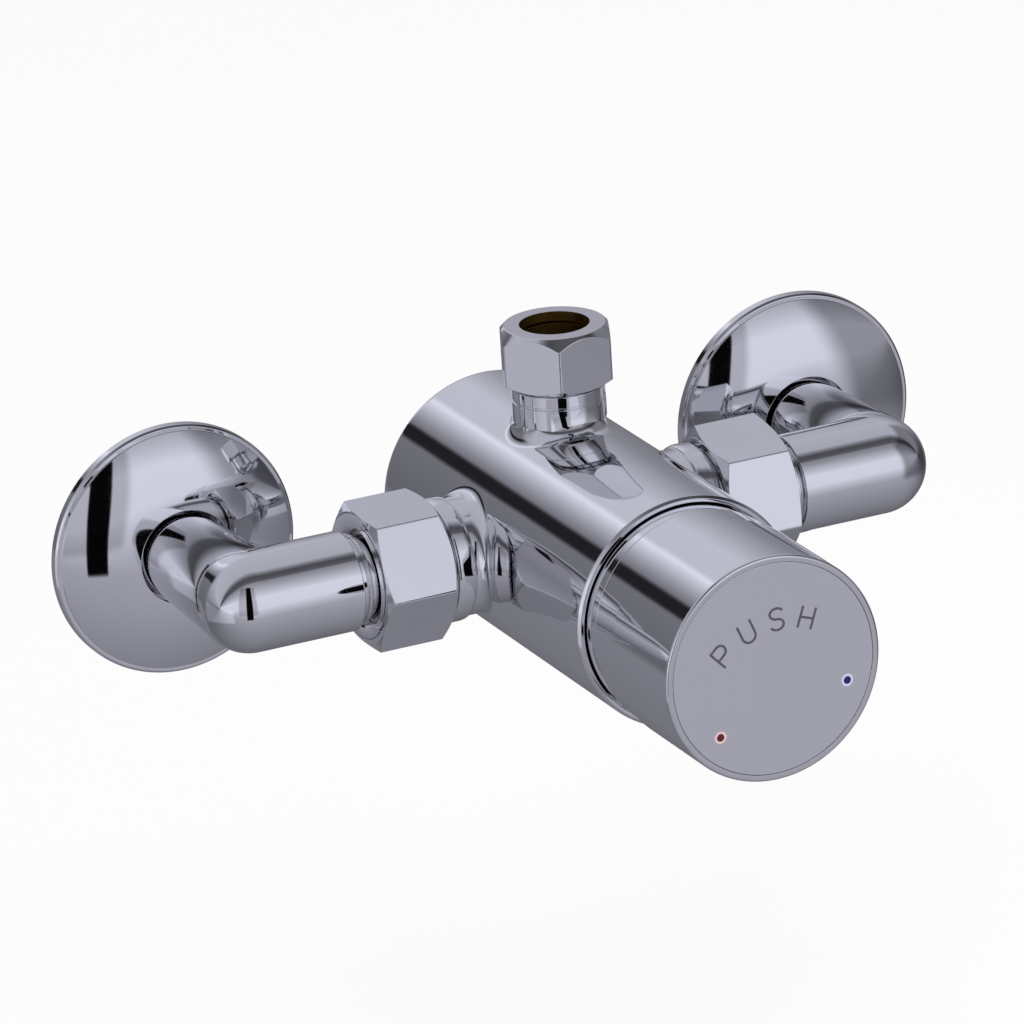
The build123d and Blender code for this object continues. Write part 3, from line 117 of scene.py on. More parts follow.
def in_mm(group):
    """The lengths of a group, by name, in millimetres."""
    return SimpleNamespace(**{name: getattr(group, name) / MM for name in group.__annotations__})


class BodySizes(bpy.types.PropertyGroup):
    """Shape of the casting"""
    port: length("Port", "Radius of the side ports", 12.9)
    port_ball: length("Port fillet", "Rolling radius between port and barrel", 3.5)
    neck: length("Outlet neck", "Radius of the outlet neck", 9.6)
    neck_ball: length("Outlet fillet", "Rolling radius between neck and barrel", 4.5)
    back_round: length("Back edge", "Rounding of the barrel's back", 2.5)


class FittingSizes(bpy.types.PropertyGroup):
    """Shape of nuts and elbows"""
    nut_flats: length("Union nut", "Union nut across flats", 29.0)
    outlet_flats: length("Outlet nut", "Outlet nut across flats", 23.0)
    corner_round: length("Nut corners", "Rounding of the hexagons' corners", 0.7)
    mitre_round: length("Elbow corner", "Rounding inside each elbow", 2.0)
    thread_pitch: length("Thread pitch", "Pitch of the wall threads", 1.814)
    thread_depth: length("Thread depth", "Depth of the wall threads", 1.1)


class LetterSizes(bpy.types.PropertyGroup):
    """Size and place of the lettering on the knob"""
    height: length("Height", "Height of the letters' centre lines", 4.75)
    width: length("Width", "Width of the letters' centre lines", 3.1)
    stroke: length("Stroke", "Width of the strokes", 0.5)
    arc: length("Arc", "Radius of the line through the letters", 19.2)
    drop: length("Drop", "Centre of that line below the knob's centre", 8.75)


class FinishColours(bpy.types.PropertyGroup):
    """Colours of the finishes"""
    chrome: colour("Chrome", "Polished plating", (0.79, 0.79, 0.81))
    satin: colour("Satin chrome", "Satin face", (0.83, 0.83, 0.85))
    brass: colour("Raw brass", "Unplated brass", (0.42, 0.27, 0.07))
    ink: colour("Lettering", "Printed letters", (0.07, 0.07, 0.085))
    hot: colour("Hot mark", "Core of the hot mark", (0.085, 0.0015, 0.003))
    cold: colour("Cold mark", "Core of the cold mark", (0.003, 0.002, 0.07))
    hot_border: colour("Hot border", "Border of the hot mark", (0.66, 0.46, 0.50))
    cold_border: colour("Cold border", "Border of the cold mark", (0.52, 0.52, 0.76))


class StageSizes(bpy.types.PropertyGroup):
    """Camera and floor"""
    focal_length: FloatProperty(name="Focal length", description="Lens for a 36 mm sensor", default=331.07,
                                unit="CAMERA")
    floor_drop: length("Floor drop", "Floor below the valve's axis", 120.0)


# Shader maths


class Wire:
    """An output socket that can be used in sums; each operator adds one Math node."""

    def __init__(self, tree, socket):
        self.tree = tree
        self.socket = socket

    def math(self, operation, *values):
        """A Math node with the given values, in this wire's tree."""
        node = self.tree.nodes.new("ShaderNodeMath")
        node.operation = operation
        for slot, value in zip(node.inputs, values):
            plug(self.tree, slot, value)
        return Wire(self.tree, node.outputs[0])

    def __add__(self, other):
        return self.math("ADD", self, other)

    def __sub__(self, other):
        return self.math("SUBTRACT", self, other)

    def __mul__(self, other):
        return self.math("MULTIPLY", self, other)

    def __truediv__(self, other):
        return self.math("DIVIDE", self, other)

    def __pow__(self, other):
        return self.math("POWER", self, other)

    def __rsub__(self, other):
        return self.math("SUBTRACT", other, self)

    def __neg__(self):
        return self.math("MULTIPLY", self, -1.0)

    __radd__ = __add__
    __rmul__ = __mul__

    def rise(self, low, high):
        """0 below low, 1 above high, smooth between them; high may be the smaller, for a fall."""
        node = self.tree.nodes.new("ShaderNodeMapRange")
        node.interpolation_type = "SMOOTHSTEP"
        limits = (low, high, 0.0, 1.0) if high > low else (high, low, 1.0, 0.0)
        plug(self.tree, node.inputs["Value"], self)
        for name, value in zip(("From Min", "From Max", "To Min", "To Max"), limits):
            node.inputs[name].default_value = value
        return Wire(self.tree, node.outputs["Result"])

    def band(self, start, end, soft):
        """1 between start and end, with soft edges of the given width outside them."""
        return self.rise(start - soft, start) * self.rise(end + soft, end)

    def curve(self, *stops):
        """Straight runs between (place, level) stops, and the end levels beyond them."""
        low, high = stops[0][0], stops[-1][0]
        node = self.tree.nodes.new("ShaderNodeValToRGB")
        ramp = node.color_ramp
        while len(ramp.elements) < len(stops):
            ramp.elements.new(1.0)
        for element, (place, level) in zip(ramp.elements, stops):
            element.position = (place - low) / (high - low)
            element.color = (level, level, level, 1.0)
        plug(self.tree, node.inputs["Fac"], (self - low) / (high - low))
        return Wire(self.tree, node.outputs["Color"])


def plug(tree, slot, value):
    """Links a wire to an input, or sets the input to a number or colour."""
    if isinstance(value, Wire):
        tree.links.new(value.socket, slot)
    else:
        slot.default_value = value


class Graph:
    """A node tree that is filled by naming each node's type, settings and inputs."""

    def __init__(self, owner):
        owner.use_nodes = True
        self.tree = owner.node_tree
        self.tree.nodes.clear()

    def add(self, kind, settings=None, inputs=None, output=0):
        node = self.tree.nodes.new("ShaderNode" + kind)
        for name, value in (settings or {}).items():
            setattr(node, name, value)
        for name, value in (inputs or {}).items():
            plug(self.tree, node.inputs[name], value)
        return Wire(self.tree, node.outputs[output]) if node.outputs else None

    def mix(self, factor, first, second):
        """A colour mix: first where the factor is 0, second where it is 1."""
        return self.add("Mix", {"data_type": "RGBA"}, {0: factor, 6: first, 7: second}, 2)

    def part(self, vector, axis):
        """One coordinate of a vector."""
        return self.add("SeparateXYZ", {}, {0: vector}, axis)

    def ray(self, kind):
        """1 for rays of a kind: Camera, Glossy or Transmission."""
        return self.add("LightPath", output=f"Is {kind} Ray")


def rgba(colour, scale=1.0):
    return (colour[0] * scale, colour[1] * scale, colour[2] * scale, 1.0)


# Finishes. The scales are of noise, per metre.

HAZE, RIPPLE, POLISH_GRAIN = 34.0, 105.0, 1500.0
SATIN_CLOUD, SATIN_GRAIN = 60.0, 2600.0
BRASS_DULLING, TURNING_MARKS = 160.0, 420.0
COATING_GRAIN = 900.0


def object_point(graph, stretch=(1.0, 1.0, 1.0)):
    point = graph.add("TexCoord", output="Object")
    return graph.add("VectorMath", {"operation": "MULTIPLY"}, {0: point, 1: stretch})


def noise(graph, point, scale, detail=3.0, roughness=0.5):
    return graph.add("TexNoise", {}, {"Vector": point, "Scale": scale, "Detail": detail, "Roughness": roughness})


def plated(graph, colour, polish=0.035, ripple=1.0):
    """Polished plating: a faint ripple left by hand polishing, hazier patches and a very fine grain."""
    point = object_point(graph)
    haze = noise(graph, point, HAZE, 4.0, 0.6).rise(0.42, 0.78)
    grain = noise(graph, point, POLISH_GRAIN, 2.0)
    waves = noise(graph, point, RIPPLE, 2.0)
    tone = graph.mix(haze * 0.35, rgba(colour), rgba(colour, 0.95))
    height = waves * (0.9 * ripple) + grain * 0.02
    normal = graph.add("Bump", {}, {"Strength": 0.35, "Distance": 0.00003, "Height": height})
    return {"Base Color": tone, "Metallic": 1.0, "Roughness": haze * 0.03 + polish, "Normal": normal}


def satin(graph, colour):
    """Satin face: a fine speckle under a soft blasted texture."""
    point = object_point(graph)
    speckle = noise(graph, point, SATIN_GRAIN, 2.0, 0.7)
    cloud = noise(graph, point, SATIN_CLOUD, 3.0)
    tone = graph.mix(speckle * 0.5 + cloud * 0.3, rgba(colour, 0.94), rgba(colour, 1.06))
    normal = graph.add("Bump", {}, {"Strength": 0.25, "Distance": 0.00002, "Height": speckle})
    return {"Base Color": tone, "Metallic": 1.0, "Roughness": cloud * 0.06 + 0.38, "Normal": normal}


def raw_brass(graph, colour):
    """Unplated turned brass with dull patches and turning marks."""
    marks = noise(graph, object_point(graph, (1.0, 1.0, 9.0)), TURNING_MARKS, 2.0)
    dull = noise(graph, object_point(graph), BRASS_DULLING, 4.0, 0.6).rise(0.35, 0.7)
    tone = graph.mix(dull, rgba(colour), rgba(colour, 0.45))
    normal = graph.add("Bump", {}, {"Strength": 0.4, "Distance": 0.00005, "Height": marks})
    return {"Base Color": tone, "Metallic": 1.0, "Roughness": dull * 0.25 + 0.28, "Normal": normal}


def coated(graph, colour, gloss=0.35, coat=0.0):
    """Enamel, ink, rubber or moulded plastic, told apart by gloss and by a clear coat."""
    grain = noise(graph, object_point(graph), COATING_GRAIN, 3.0)
    tone = graph.mix(grain, rgba(colour, 0.88), rgba(colour, 1.12))
    normal = graph.add("Bump", {}, {"Strength": 0.3, "Distance": 0.00002, "Height": grain})
    return {"Base Color": tone, "Roughness": grain * 0.1 + gloss, "Coat Weight": coat, "Normal": normal}


FINISHES = {}


def finish(name):
    """The named finish, made once and shared by all pieces that have it."""
    if name not in FINISHES:
        colours = bpy.context.scene.mixer_finish
        recipes = {
            "chrome": ("polished_chrome", plated, colours.chrome),
            "satin": ("satin_chrome", satin, colours.satin),
            "brass": ("raw_brass", raw_brass, colours.brass),
            "steel": ("stainless_steel", plated, (0.5, 0.5, 0.5), 0.22, 0.5),
            "rubber": ("black_rubber", coated, (0.02, 0.02, 0.02), 0.5),
            "white_plastic": ("white_moulding", coated, (0.75, 0.75, 0.72), 0.4),
            "dark_plastic": ("black_moulding", coated, (0.03, 0.03, 0.033), 0.38),
            "red": ("hot_enamel", coated, colours.hot, 0.2, 0.3),
            "blue": ("cold_enamel", coated, colours.cold, 0.2, 0.3),
            "red_border": ("hot_border", coated, colours.hot_border, 0.3),
            "blue_border": ("cold_border", coated, colours.cold_border, 0.3),
            "ink": ("letter_ink", coated, colours.ink, 0.35),
        }
        title, maker, *values = recipes[name]
        material = bpy.data.materials.new(title)
        graph = Graph(material)
        shader = graph.add("BsdfPrincipled", {}, maker(graph, *values))
        graph.add("OutputMaterial", {}, {"Surface": shader})
        FINISHES[name] = material
    return FINISHES[name]


# Surfaces. An outline is an array of (corner, column, (radius, distance along the axis)). A column is one
# direction round the axis, and an outline that is the same all round has a single column.


def stack(*points):
    """An outline from (radius, distance) points, each a number or an array over the columns."""
    pairs = [np.stack(np.broadcast_arrays(*map(np.atleast_1d, point)), -1).astype(float) for point in points]
    columns = max(len(pair) for pair in pairs)
    return np.stack([np.broadcast_to(pair, (columns, 2)) for pair in pairs])


def rounded(points, radii, steps=6):
    """An outline whose corners become arcs. An arc's centre lies on the corner's bisector at radius /
    sin(half the corner's angle), and the arc turns evenly between its two tangent points. One more point just
    outside each tangent point keeps the straight runs flat."""
    rows = [points[:1]]
    for index in range(1, len(points) - 1):
        corner, radius = points[index], radii[index]
        if radius == 0:
            rows.append(corner[None])
            continue
        back, ahead = points[index - 1] - corner, points[index + 1] - corner
        lengths = np.maximum([np.linalg.norm(back, axis=-1), np.linalg.norm(ahead, axis=-1)], 1e-6)
        back, ahead = back / lengths[0][:, None], ahead / lengths[1][:, None]
        half = np.clip(np.arccos(np.clip((back * ahead).sum(-1), -1, 1)) / 2, 0.02, pi / 2 - 0.001)
        reach = np.minimum(radius / np.tan(half), 0.42 * lengths.min(0))
        bisector = (back + ahead) / np.linalg.norm(back + ahead + 1e-12, axis=-1, keepdims=True)
        centre = corner + bisector * (reach / np.cos(half))[:, None]
        turn = pi - 2 * half
        share = np.linspace(0, 1, steps + 1)[:, None]
        first = (corner + back * reach[:, None] - centre) * (np.sin(turn * (1 - share)) / np.sin(turn))[..., None]
        last = (corner + ahead * reach[:, None] - centre) * (np.sin(turn * share) / np.sin(turn))[..., None]
        guard = (reach + np.minimum(0.03, 0.06 * lengths.min(0)))[:, None]
        rows += [(corner + back * guard)[None], centre + first + last, (corner + ahead * guard)[None]]
    rows.append(points[-1:])
    return np.concatenate(rows)


def arc_through(first, middle, last, steps=24):
    """Points on the circle through three places; its centre is equally far from all of them."""
    first, middle, last = (np.array(place, float) for place in (first, middle, last))
    sides = 2 * np.array([middle - first, last - first])
    centre = np.linalg.solve(sides, [middle @ middle - first @ first, last @ last - first @ first])
    angles = np.unwrap([np.arctan2(*(place - centre)[::-1]) for place in (first, middle, last)])
    sweep = np.linspace(angles[0], angles[2], steps)
    radius = np.linalg.norm(first - centre)
    return [tuple(centre + radius * np.array([np.cos(angle), np.sin(angle)])) for angle in sweep]


def quarter(start, end, rising, steps=7):
    """A quarter of an ellipse between two (radius, distance) points. Rising, it leaves the first across the
    axis and meets the second along it; falling, the other way round."""
    angle = np.linspace(0, pi / 2, steps)
    out, on = (np.sin(angle), 1 - np.cos(angle)) if rising else (1 - np.cos(angle), np.sin(angle))
    return [(start[0] + (end[0] - start[0]) * a, start[1] + (end[1] - start[1]) * b) for a, b in zip(out, on)]


def turned(outline, origin, along, ring, angles=192):
    """An outline carried round an axis: origin + distance * along + radius * (cos(angle) * ring[0]
    + sin(angle) * ring[1])."""
    if np.isscalar(angles):
        angles = np.linspace(0, 2 * pi, angles, endpoint=False)
    direction = np.cos(angles)[:, None] * ring[0] + np.sin(angles)[:, None] * ring[1]
    return np.asarray(origin) + outline[..., 1:] * along + outline[..., :1] * direction


def between(first, last, share):
    """Directions turned evenly from first to last: sin((1 - share) w) / sin w of the one plus sin(share w) /
    sin w of the other, where w is the angle between them."""
    opening = np.arccos(np.clip((first * last).sum(-1), -1, 0.999999))
    weight_first = np.sin((1 - share) * opening) / np.sin(opening)
    weight_last = np.sin(share * opening) / np.sin(opening)
    return weight_first[..., None] * first + weight_last[..., None] * last


def skin(name, grids, body, stands_for=(), sharp=40.0):
    """One closed piece from grids of points. A grid is (points, finish) or (points, finish, faces to keep);
    its last column joins its first, and edges that grids share are merged."""
    points, faces, slots, finishes, offset = [], [], [], [], 0
    for grid, finish_name, *keep in grids:
        if finish_name not in finishes:
            finishes.append(finish_name)
        rows, columns = grid.shape[:2]
        row, column = np.meshgrid(np.arange(rows - 1), np.arange(columns), indexing="ij")
        here, beside = row * columns + column, row * columns + (column + 1) % columns
        quads = np.stack((here, beside, beside + columns, here + columns), -1)
        quads = (quads[keep[0]] if keep else quads).reshape(-1, 4) + offset
        points.append(grid.reshape(-1, 3))
        faces.append(quads)
        slots.append(np.full(len(quads), finishes.index(finish_name)))
        offset += rows * columns
    mesh = bpy.data.meshes.new(name)
    mesh.from_pydata(np.concatenate(points) * MM, [], np.concatenate(faces))
    mesh.polygons.foreach_set("material_index", np.concatenate(slots))
    work = bmesh.new()
    work.from_mesh(mesh)
    bmesh.ops.remove_doubles(work, verts=work.verts, dist=3e-6)
    bmesh.ops.dissolve_degenerate(work, edges=work.edges, dist=1e-7)
    bmesh.ops.delete(work, geom=[vert for vert in work.verts if not vert.link_faces], context="VERTS")
    bmesh.ops.recalc_face_normals(work, faces=work.faces)
    work.to_mesh(mesh)
    work.free()
    mesh.shade_smooth()
    mesh.set_sharp_from_angle(angle=radians(sharp))
    for finish_name in finishes:
        mesh.materials.append(finish(finish_name))
    piece = bpy.data.objects.new(name, mesh)
    bpy.context.scene.collection.objects.link(piece)
    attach(piece, body)
    if stands_for:
        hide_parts(*stands_for)
    return piece


# Valve body

WINDOW = 20.0  # half the length of each opening that the barrel's grid leaves for a branch
BARREL_STEP = 1.5  # degrees between the barrel's columns
PORT_WINDOW = 39.0  # half the opening round the barrel, in degrees
OUTLET_WINDOW = 33.0
PORT_RING_START = 27.4  # distances of the port's parts from the valve's axis
PORT_RING_END = 32.2
PORT_RING = 13.6
UNION_THREAD = 13.2
COLLAR_BOTTOM = 26.6
COLLAR = 10.15
OUTLET_THREAD = 10.4775
BORE_END = 16.4  # end of the barrel's bore, behind the line through the inlets
LIP_WALL = 1.4
LIP_EDGE = 0.6
BORE_STEPS = ((13.35, 39.0), (17.0, 28.5), (18.5, 23.0), (20.5, 11.5), (BARREL - LIP_WALL, 0.0))
PORT_STEPS = ((8.0, 11.2), (7.0, 18.6))  # these and the barrel's are (radius, depth from the opening)
PIPE_BORE = 7.6
OUTLET_SEAT = 30.0
OUTLET_WAY = 6.0
OUTLET_END = 19.4


def stepped(start, steps):
    """Corners of a stepped bore. Each step runs at its radius from where the one before it ended."""
    corners = []
    for radius, end in steps:
        corners += [(radius, start), (radius, end)]
        start = end
    return corners


def branch(along, across, window, radius, ball, stop_along, stop_radius=None):
    """The saddle between the barrel and a branch standing on it, with the angle, radius and distance of its
    last row. A ball of radius b rolls on the barrel of radius B round the branch of radius r. Its centre lies
    (r + b) cos t along the barrel, q = (r + b) sin t across both and a = sqrt((B + b)^2 - q^2) along the
    branch. It touches the barrel along (a, 0, q) / (B + b) and the branch along (0, cos t, sin t), and the
    surface is the centre less b times a direction turned from the one to the other."""
    steps = round(2 * window / BARREL_STEP)
    turn = radians(window) * np.linspace(-1, 1, steps + 1)
    place = np.arange(-WINDOW, WINDOW + 0.5)
    side = len(place) - 1
    edge_turn = np.concatenate((turn[:-1], np.full(side, turn[-1]), turn[:0:-1], np.full(side, turn[0])))
    edge_place = np.concatenate((np.full(steps, WINDOW), place[:0:-1], np.full(steps, -WINDOW), place[:-1]))
    t = np.arctan2(edge_turn / turn[-1], edge_place / WINDOW)
    p, q = (radius + ball) * np.cos(t), (radius + ball) * np.sin(t)
    a = np.sqrt((BARREL + ball) ** 2 - q ** 2)
    share = np.linspace(0, 1, 13)[:-1, None]
    sheet_turn = edge_turn + (np.arcsin(q / (BARREL + ball)) - edge_turn) * share
    sheet_place = edge_place + (p - edge_place) * share
    sheet = np.stack((BARREL * np.cos(sheet_turn), sheet_place, BARREL * np.sin(sheet_turn)), -1)
    on_barrel = np.stack((a, 0 * a, q), -1) / (BARREL + ball)
    on_branch = np.stack((0 * t, np.cos(t), np.sin(t)), -1)
    fine = np.linspace(0, 1, 300)[:, None]
    centre = np.stack((a, p, q), -1)
    trial = centre - ball * between(on_barrel, on_branch, fine)
    end = np.array([np.interp(stop_along, heights, fine[:, 0]) for heights in trial[..., 0].T])
    if stop_radius:
        inward = -np.hypot(trial[..., 1], trial[..., 2]).T
        end = np.maximum(end, [np.interp(-stop_radius, line, fine[:, 0]) for line in inward])
    saddle = centre - ball * between(on_barrel, on_branch, np.linspace(0, 1, 17)[:, None] * end)
    rows = np.concatenate((sheet, saddle))
    points = INLET_CENTRE + rows[..., :1] * along + rows[..., 1:2] * WALLWARD + rows[..., 2:] * across
    height, p, q = saddle[-1].T
    return points, np.arctan2(q, p), np.hypot(q, p), height


class MIXER_OT_body(bpy.types.Operator):
    """Makes the casting: the barrel, its two ports and the outlet neck, blended by rolling fillets"""
    bl_idname = "mixer.body"
    bl_label = "Valve body"

    def execute(self, context):
        sizes = in_mm(context.scene.mixer_body)
        columns = round(360 / BARREL_STEP)
        front_edge, back_edge = INLET_Y - WINDOW, INLET_Y + WINDOW
        bore_end = INLET_Y + BORE_END
        front = rounded(stack(
            (0, bore_end), *stepped(bore_end, [(radius, LIP_Y + depth) for radius, depth in BORE_STEPS]),
            (BARREL - LIP_EDGE, LIP_Y), (BARREL, LIP_Y + LIP_EDGE), (BARREL, front_edge)),
            [0] * 10 + [0.2, 0.2, 0.3, 0])
        middle = stack(*[(BARREL, y) for y in np.arange(front_edge, back_edge + 0.5)])
        back = rounded(stack((BARREL, back_edge), (BARREL, BODY_BACK_Y), (0, BODY_BACK_Y)),
                       [0, sizes.back_round, 0], 12)
        outline = np.concatenate((front[:-1], middle, back[1:]))
        height = (outline[:-1, 0, 1] + outline[1:, 0, 1]) / 2
        turn = (np.arange(columns) + 0.5) * BARREL_STEP  # 0 on top, 90 on the right
        beside = (abs(turn - 90) < PORT_WINDOW) | (abs(turn - 270) < PORT_WINDOW)
        above = (turn < OUTLET_WINDOW) | (turn > 360 - OUTLET_WINDOW)
        at_port = (abs(height - INLET_Y) < WINDOW)[:, None] & (outline[1:, :, 0] > BARREL - 0.01)
        barrel = turned(outline, (0, 0, 0), WALLWARD, (UPWARD, RIGHTWARD), columns)
        grids = [(barrel, "chrome", ~(at_port & (beside | above)))]
        for side in SIDES.values():
            along = side * RIGHTWARD
            saddle, angles, radius, end = branch(along, UPWARD, PORT_WINDOW, sizes.port, sizes.port_ball,
                                                 PORT_RING_START)
            outline = stack(
                (radius, end), *quarter((radius, PORT_RING_START), (PORT_RING, PORT_RING_START + 1.6), True),
                *quarter((PORT_RING, PORT_RING_END - 1.6), (UNION_THREAD - 0.8, PORT_RING_END), False),
                (UNION_THREAD - 0.8, PORT_RING_END + 1.2), (UNION_THREAD, PORT_RING_END + 1.8),
                (UNION_THREAD, PORT_FACE - 0.8), (UNION_THREAD - 0.8, PORT_FACE),
                *stepped(PORT_FACE, [(hole, PORT_FACE - depth) for hole, depth in PORT_STEPS]),
                (0, PORT_FACE - PORT_STEPS[-1][1]))
            port = turned(outline, INLET_CENTRE, along, (WALLWARD, UPWARD), angles)
            grids += [(saddle, "chrome"), (port, "chrome")]
        saddle, angles, radius, end = branch(UPWARD, RIGHTWARD, OUTLET_WINDOW, sizes.neck, sizes.neck_ball,
                                             COLLAR_BOTTOM, COLLAR)
        start = np.maximum(end, COLLAR_BOTTOM)
        outline = rounded(stack(
            (radius, end), (radius, start), (COLLAR, start), (COLLAR, 31.0), (9.85, 31.15), (9.85, 31.45),
            (10.05, 31.6), (10.05, 34.0), (sizes.neck, 34.3), (sizes.neck, THREAD_TOP - 6.2),
            (OUTLET_THREAD, THREAD_TOP - 5.6), (OUTLET_THREAD, THREAD_TOP - 0.6), (9.88, THREAD_TOP),
            (9.0, THREAD_TOP)), [0, 0, 0.1, 0.12, 0.08, 0.08, 0.08, 0.25, 0.2, 0.2, 0.1, 0.1, 0.1, 0], 4)
        bore = stack((9.0, THREAD_TOP), (PIPE_BORE, THREAD_TOP - 1.4), (PIPE_BORE, OUTLET_SEAT),
                     (OUTLET_WAY, OUTLET_SEAT), (OUTLET_WAY, OUTLET_END), (0, OUTLET_END))
        ring = (WALLWARD, RIGHTWARD)
        grids += [(saddle, "chrome"), (turned(outline, INLET_CENTRE, UPWARD, ring, angles), "chrome"),
                  (turned(bore, INLET_CENTRE, UPWARD, ring, angles), "brass")]
        skin("valve_casting", grids, "valve", ["valve_body"])
        return {"FINISHED"}


# Nuts. Each bore is a list of (radius, depth from the nut's outer end).

UNION_NUT_BORE = ((11.3, 0.0), (10.3, 0.8), (10.3, 1.9), (13.25, 1.9))
UNION_NUT_EDGE = 0.8
OUTLET_NUT_HOLE = ((PIPE_BORE, 0.0), (PIPE_BORE, 2.2), (8.0, 2.2), (9.1, 3.8), (10.53, 3.8))


def hexagon(flats, corner_round, along_flat=10, along_corner=8):
    """Angles and radii of a hexagon with rounded corners, the first corner at 0. On a flat the radius is
    flats / 2 / cos(angle from the flat's middle). On a corner it is the far root of the corner's circle,
    whose centre lies at (flats / 2 - corner_round) / cos 30."""
    inner = flats / 2 - corner_round
    centre = inner / np.cos(pi / 6)
    edge = np.arctan2(inner * np.tan(pi / 6), flats / 2)
    flat = np.linspace(0.004 - edge, edge - 0.004, along_flat)
    corner = np.linspace(edge, pi / 3 - edge, along_corner) - pi / 6
    turned_off = centre * np.cos(corner) + np.sqrt(corner_round ** 2 - (centre * np.sin(corner)) ** 2)
    radius = np.concatenate((flats / 2 / np.cos(flat), turned_off))
    angles = np.concatenate((flat - pi / 6, corner))
    return (np.arange(6)[:, None] * pi / 3 + angles).ravel(), np.tile(radius, 6)


def nut_grids(flats, turn, near, far, bores, along, ring):
    """A hexagon turned off between two cones, with a bore in one or more finishes. Each cone is given by its
    place, its radius there and how far it runs to the corners' circle, so it meets the side of radius h
    (h - radius) * run / (corner - radius) from its place."""
    corner_round = bpy.context.scene.mixer_fitting.corner_round / MM
    angles, side = hexagon(flats, corner_round)
    tip = flats / sqrt(3) + 0.1

    def cone(place, radius, run):
        return np.minimum(side, radius), place, place + np.maximum(side - radius, 0) * run / (tip - radius)

    near_radius, near_place, near_meet = cone(*near)
    far_radius, far_place, far_meet = cone(*far)
    outline = rounded(stack(
        (bores[-1][0][-1][0], near_place), (near_radius, near_place), (side, near_meet), (side, far_meet),
        (far_radius, far_place), (bores[0][0][0][0], far_place)), [0, 0.25, 0.2, 0.2, 0.25, 0], 4)
    angles = angles + radians(turn)
    insides = [(rounded(stack(*bore), [0] + [0.08] * (len(bore) - 2) + [0], 3), name) for bore, name in bores]
    return [(turned(surface, INLET_CENTRE, along, ring, angles), name)
            for surface, name in [(outline, "chrome"), *insides]]


class MIXER_OT_union_nuts(bpy.types.Operator):
    """Makes the two hexagon nuts that hold the elbows to the ports"""
    bl_idname = "mixer.union_nuts"
    bl_label = "Union nuts"

    def execute(self, context):
        flats = in_mm(context.scene.mixer_fitting).nut_flats
        low, high = node_box("right_union_nut")
        start, end = low[0], high[0]
        bore = [(radius, end - depth) for radius, depth in UNION_NUT_BORE]
        thread = bore[-1][0]
        bore += [(thread, start + UNION_NUT_EDGE), (thread + UNION_NUT_EDGE, start)]
        for name, side in SIDES.items():
            grids = nut_grids(flats, NUT_TURNS[name], (start, flats / 2 - 0.2, 1.5), (end, flats / 2 - 0.1, -0.9),
                              [(bore, "chrome")], side * RIGHTWARD, (WALLWARD, UPWARD))
            skin(name + "_hexagon", grids, "valve", [name + "_union_nut"])
        return {"FINISHED"}


class MIXER_OT_outlet_nut(bpy.types.Operator):
    """Makes the compression nut on the outlet, with raw brass in its bore"""
    bl_idname = "mixer.outlet_nut"
    bl_label = "Outlet nut"

    def execute(self, context):
        flats = in_mm(context.scene.mixer_fitting).outlet_flats
        low, high = node_box("outlet_nut")
        start, end = low[2], high[2]
        hole = [(radius, end - depth) for radius, depth in OUTLET_NUT_HOLE]
        thread_bore = [hole[-1], (hole[-1][0], start)]
        grids = nut_grids(flats, OUTLET_NUT_TURN, (start, flats / 2 - 0.3, 1.5), (end, flats / 2 - 0.6, -2.6),
                          [(hole, "brass"), (thread_bore, "chrome")], UPWARD, (RIGHTWARD, WALLWARD))
        skin("outlet_hexagon", grids, "valve", ["outlet_nut"])
        return {"FINISHED"}


# Elbows and wall flanges

ELBOW_COLUMNS = 144
WATERWAY = 6.5
WALL_ARM = 9.65
THREAD_START = 0.6  # places along the tail, from the wall
THREAD_END = 11.0


def bend(radius, ball, first, second, angles):
    """Rows round an elbow's corner between its two arms, first and second being their directions. Outside it
    is a sphere, radius * (cos t * direction turned from second to first + sin t * up). Inside, a ball of
    radius b rolls along the mitre with its centre at (r + b) (cos t * (first + second) + sin t * up), and the
    surface is the centre less b times a direction turned from cos t * second + sin t * up to cos t * first +
    sin t * up."""
    cosine, sine = np.cos(angles)[:, None], np.sin(angles)[:, None]
    share = np.linspace(0, 1, 21)[:, None]
    quarter_turn = (share * pi / 2)[..., None]
    swing = np.cos(quarter_turn) * second + np.sin(quarter_turn) * first
    outside = radius * (cosine * swing + sine * UPWARD)
    centre = (radius + ball) * (cosine * (first + second) + sine * UPWARD)
    towards = between(cosine * second + sine * UPWARD, cosine * first + sine * UPWARD, share)
    return np.where(cosine > 1e-9, centre - ball * towards, outside)


def thread(crest, depth, pitch, start, end, angles, hand):
    """An outline of a screw thread: the radius falls from the crest by depth * w, where w is a triangle wave
    of the distance in pitches less the turn, with its corners rounded: arccos(0.96 cos(2 pi s)) / pi
    stretched to 0..1."""
    along = np.linspace(start, end, round((end - start) / pitch * 12) + 1)[:, None]
    wave = np.arccos(0.96 * np.cos(2 * pi * along / pitch - hand * angles)) / pi
    least = np.arccos(0.96) / pi
    radius = crest - depth * (wave - least) / (1 - 2 * least)
    return np.stack(np.broadcast_arrays(radius, along), -1)


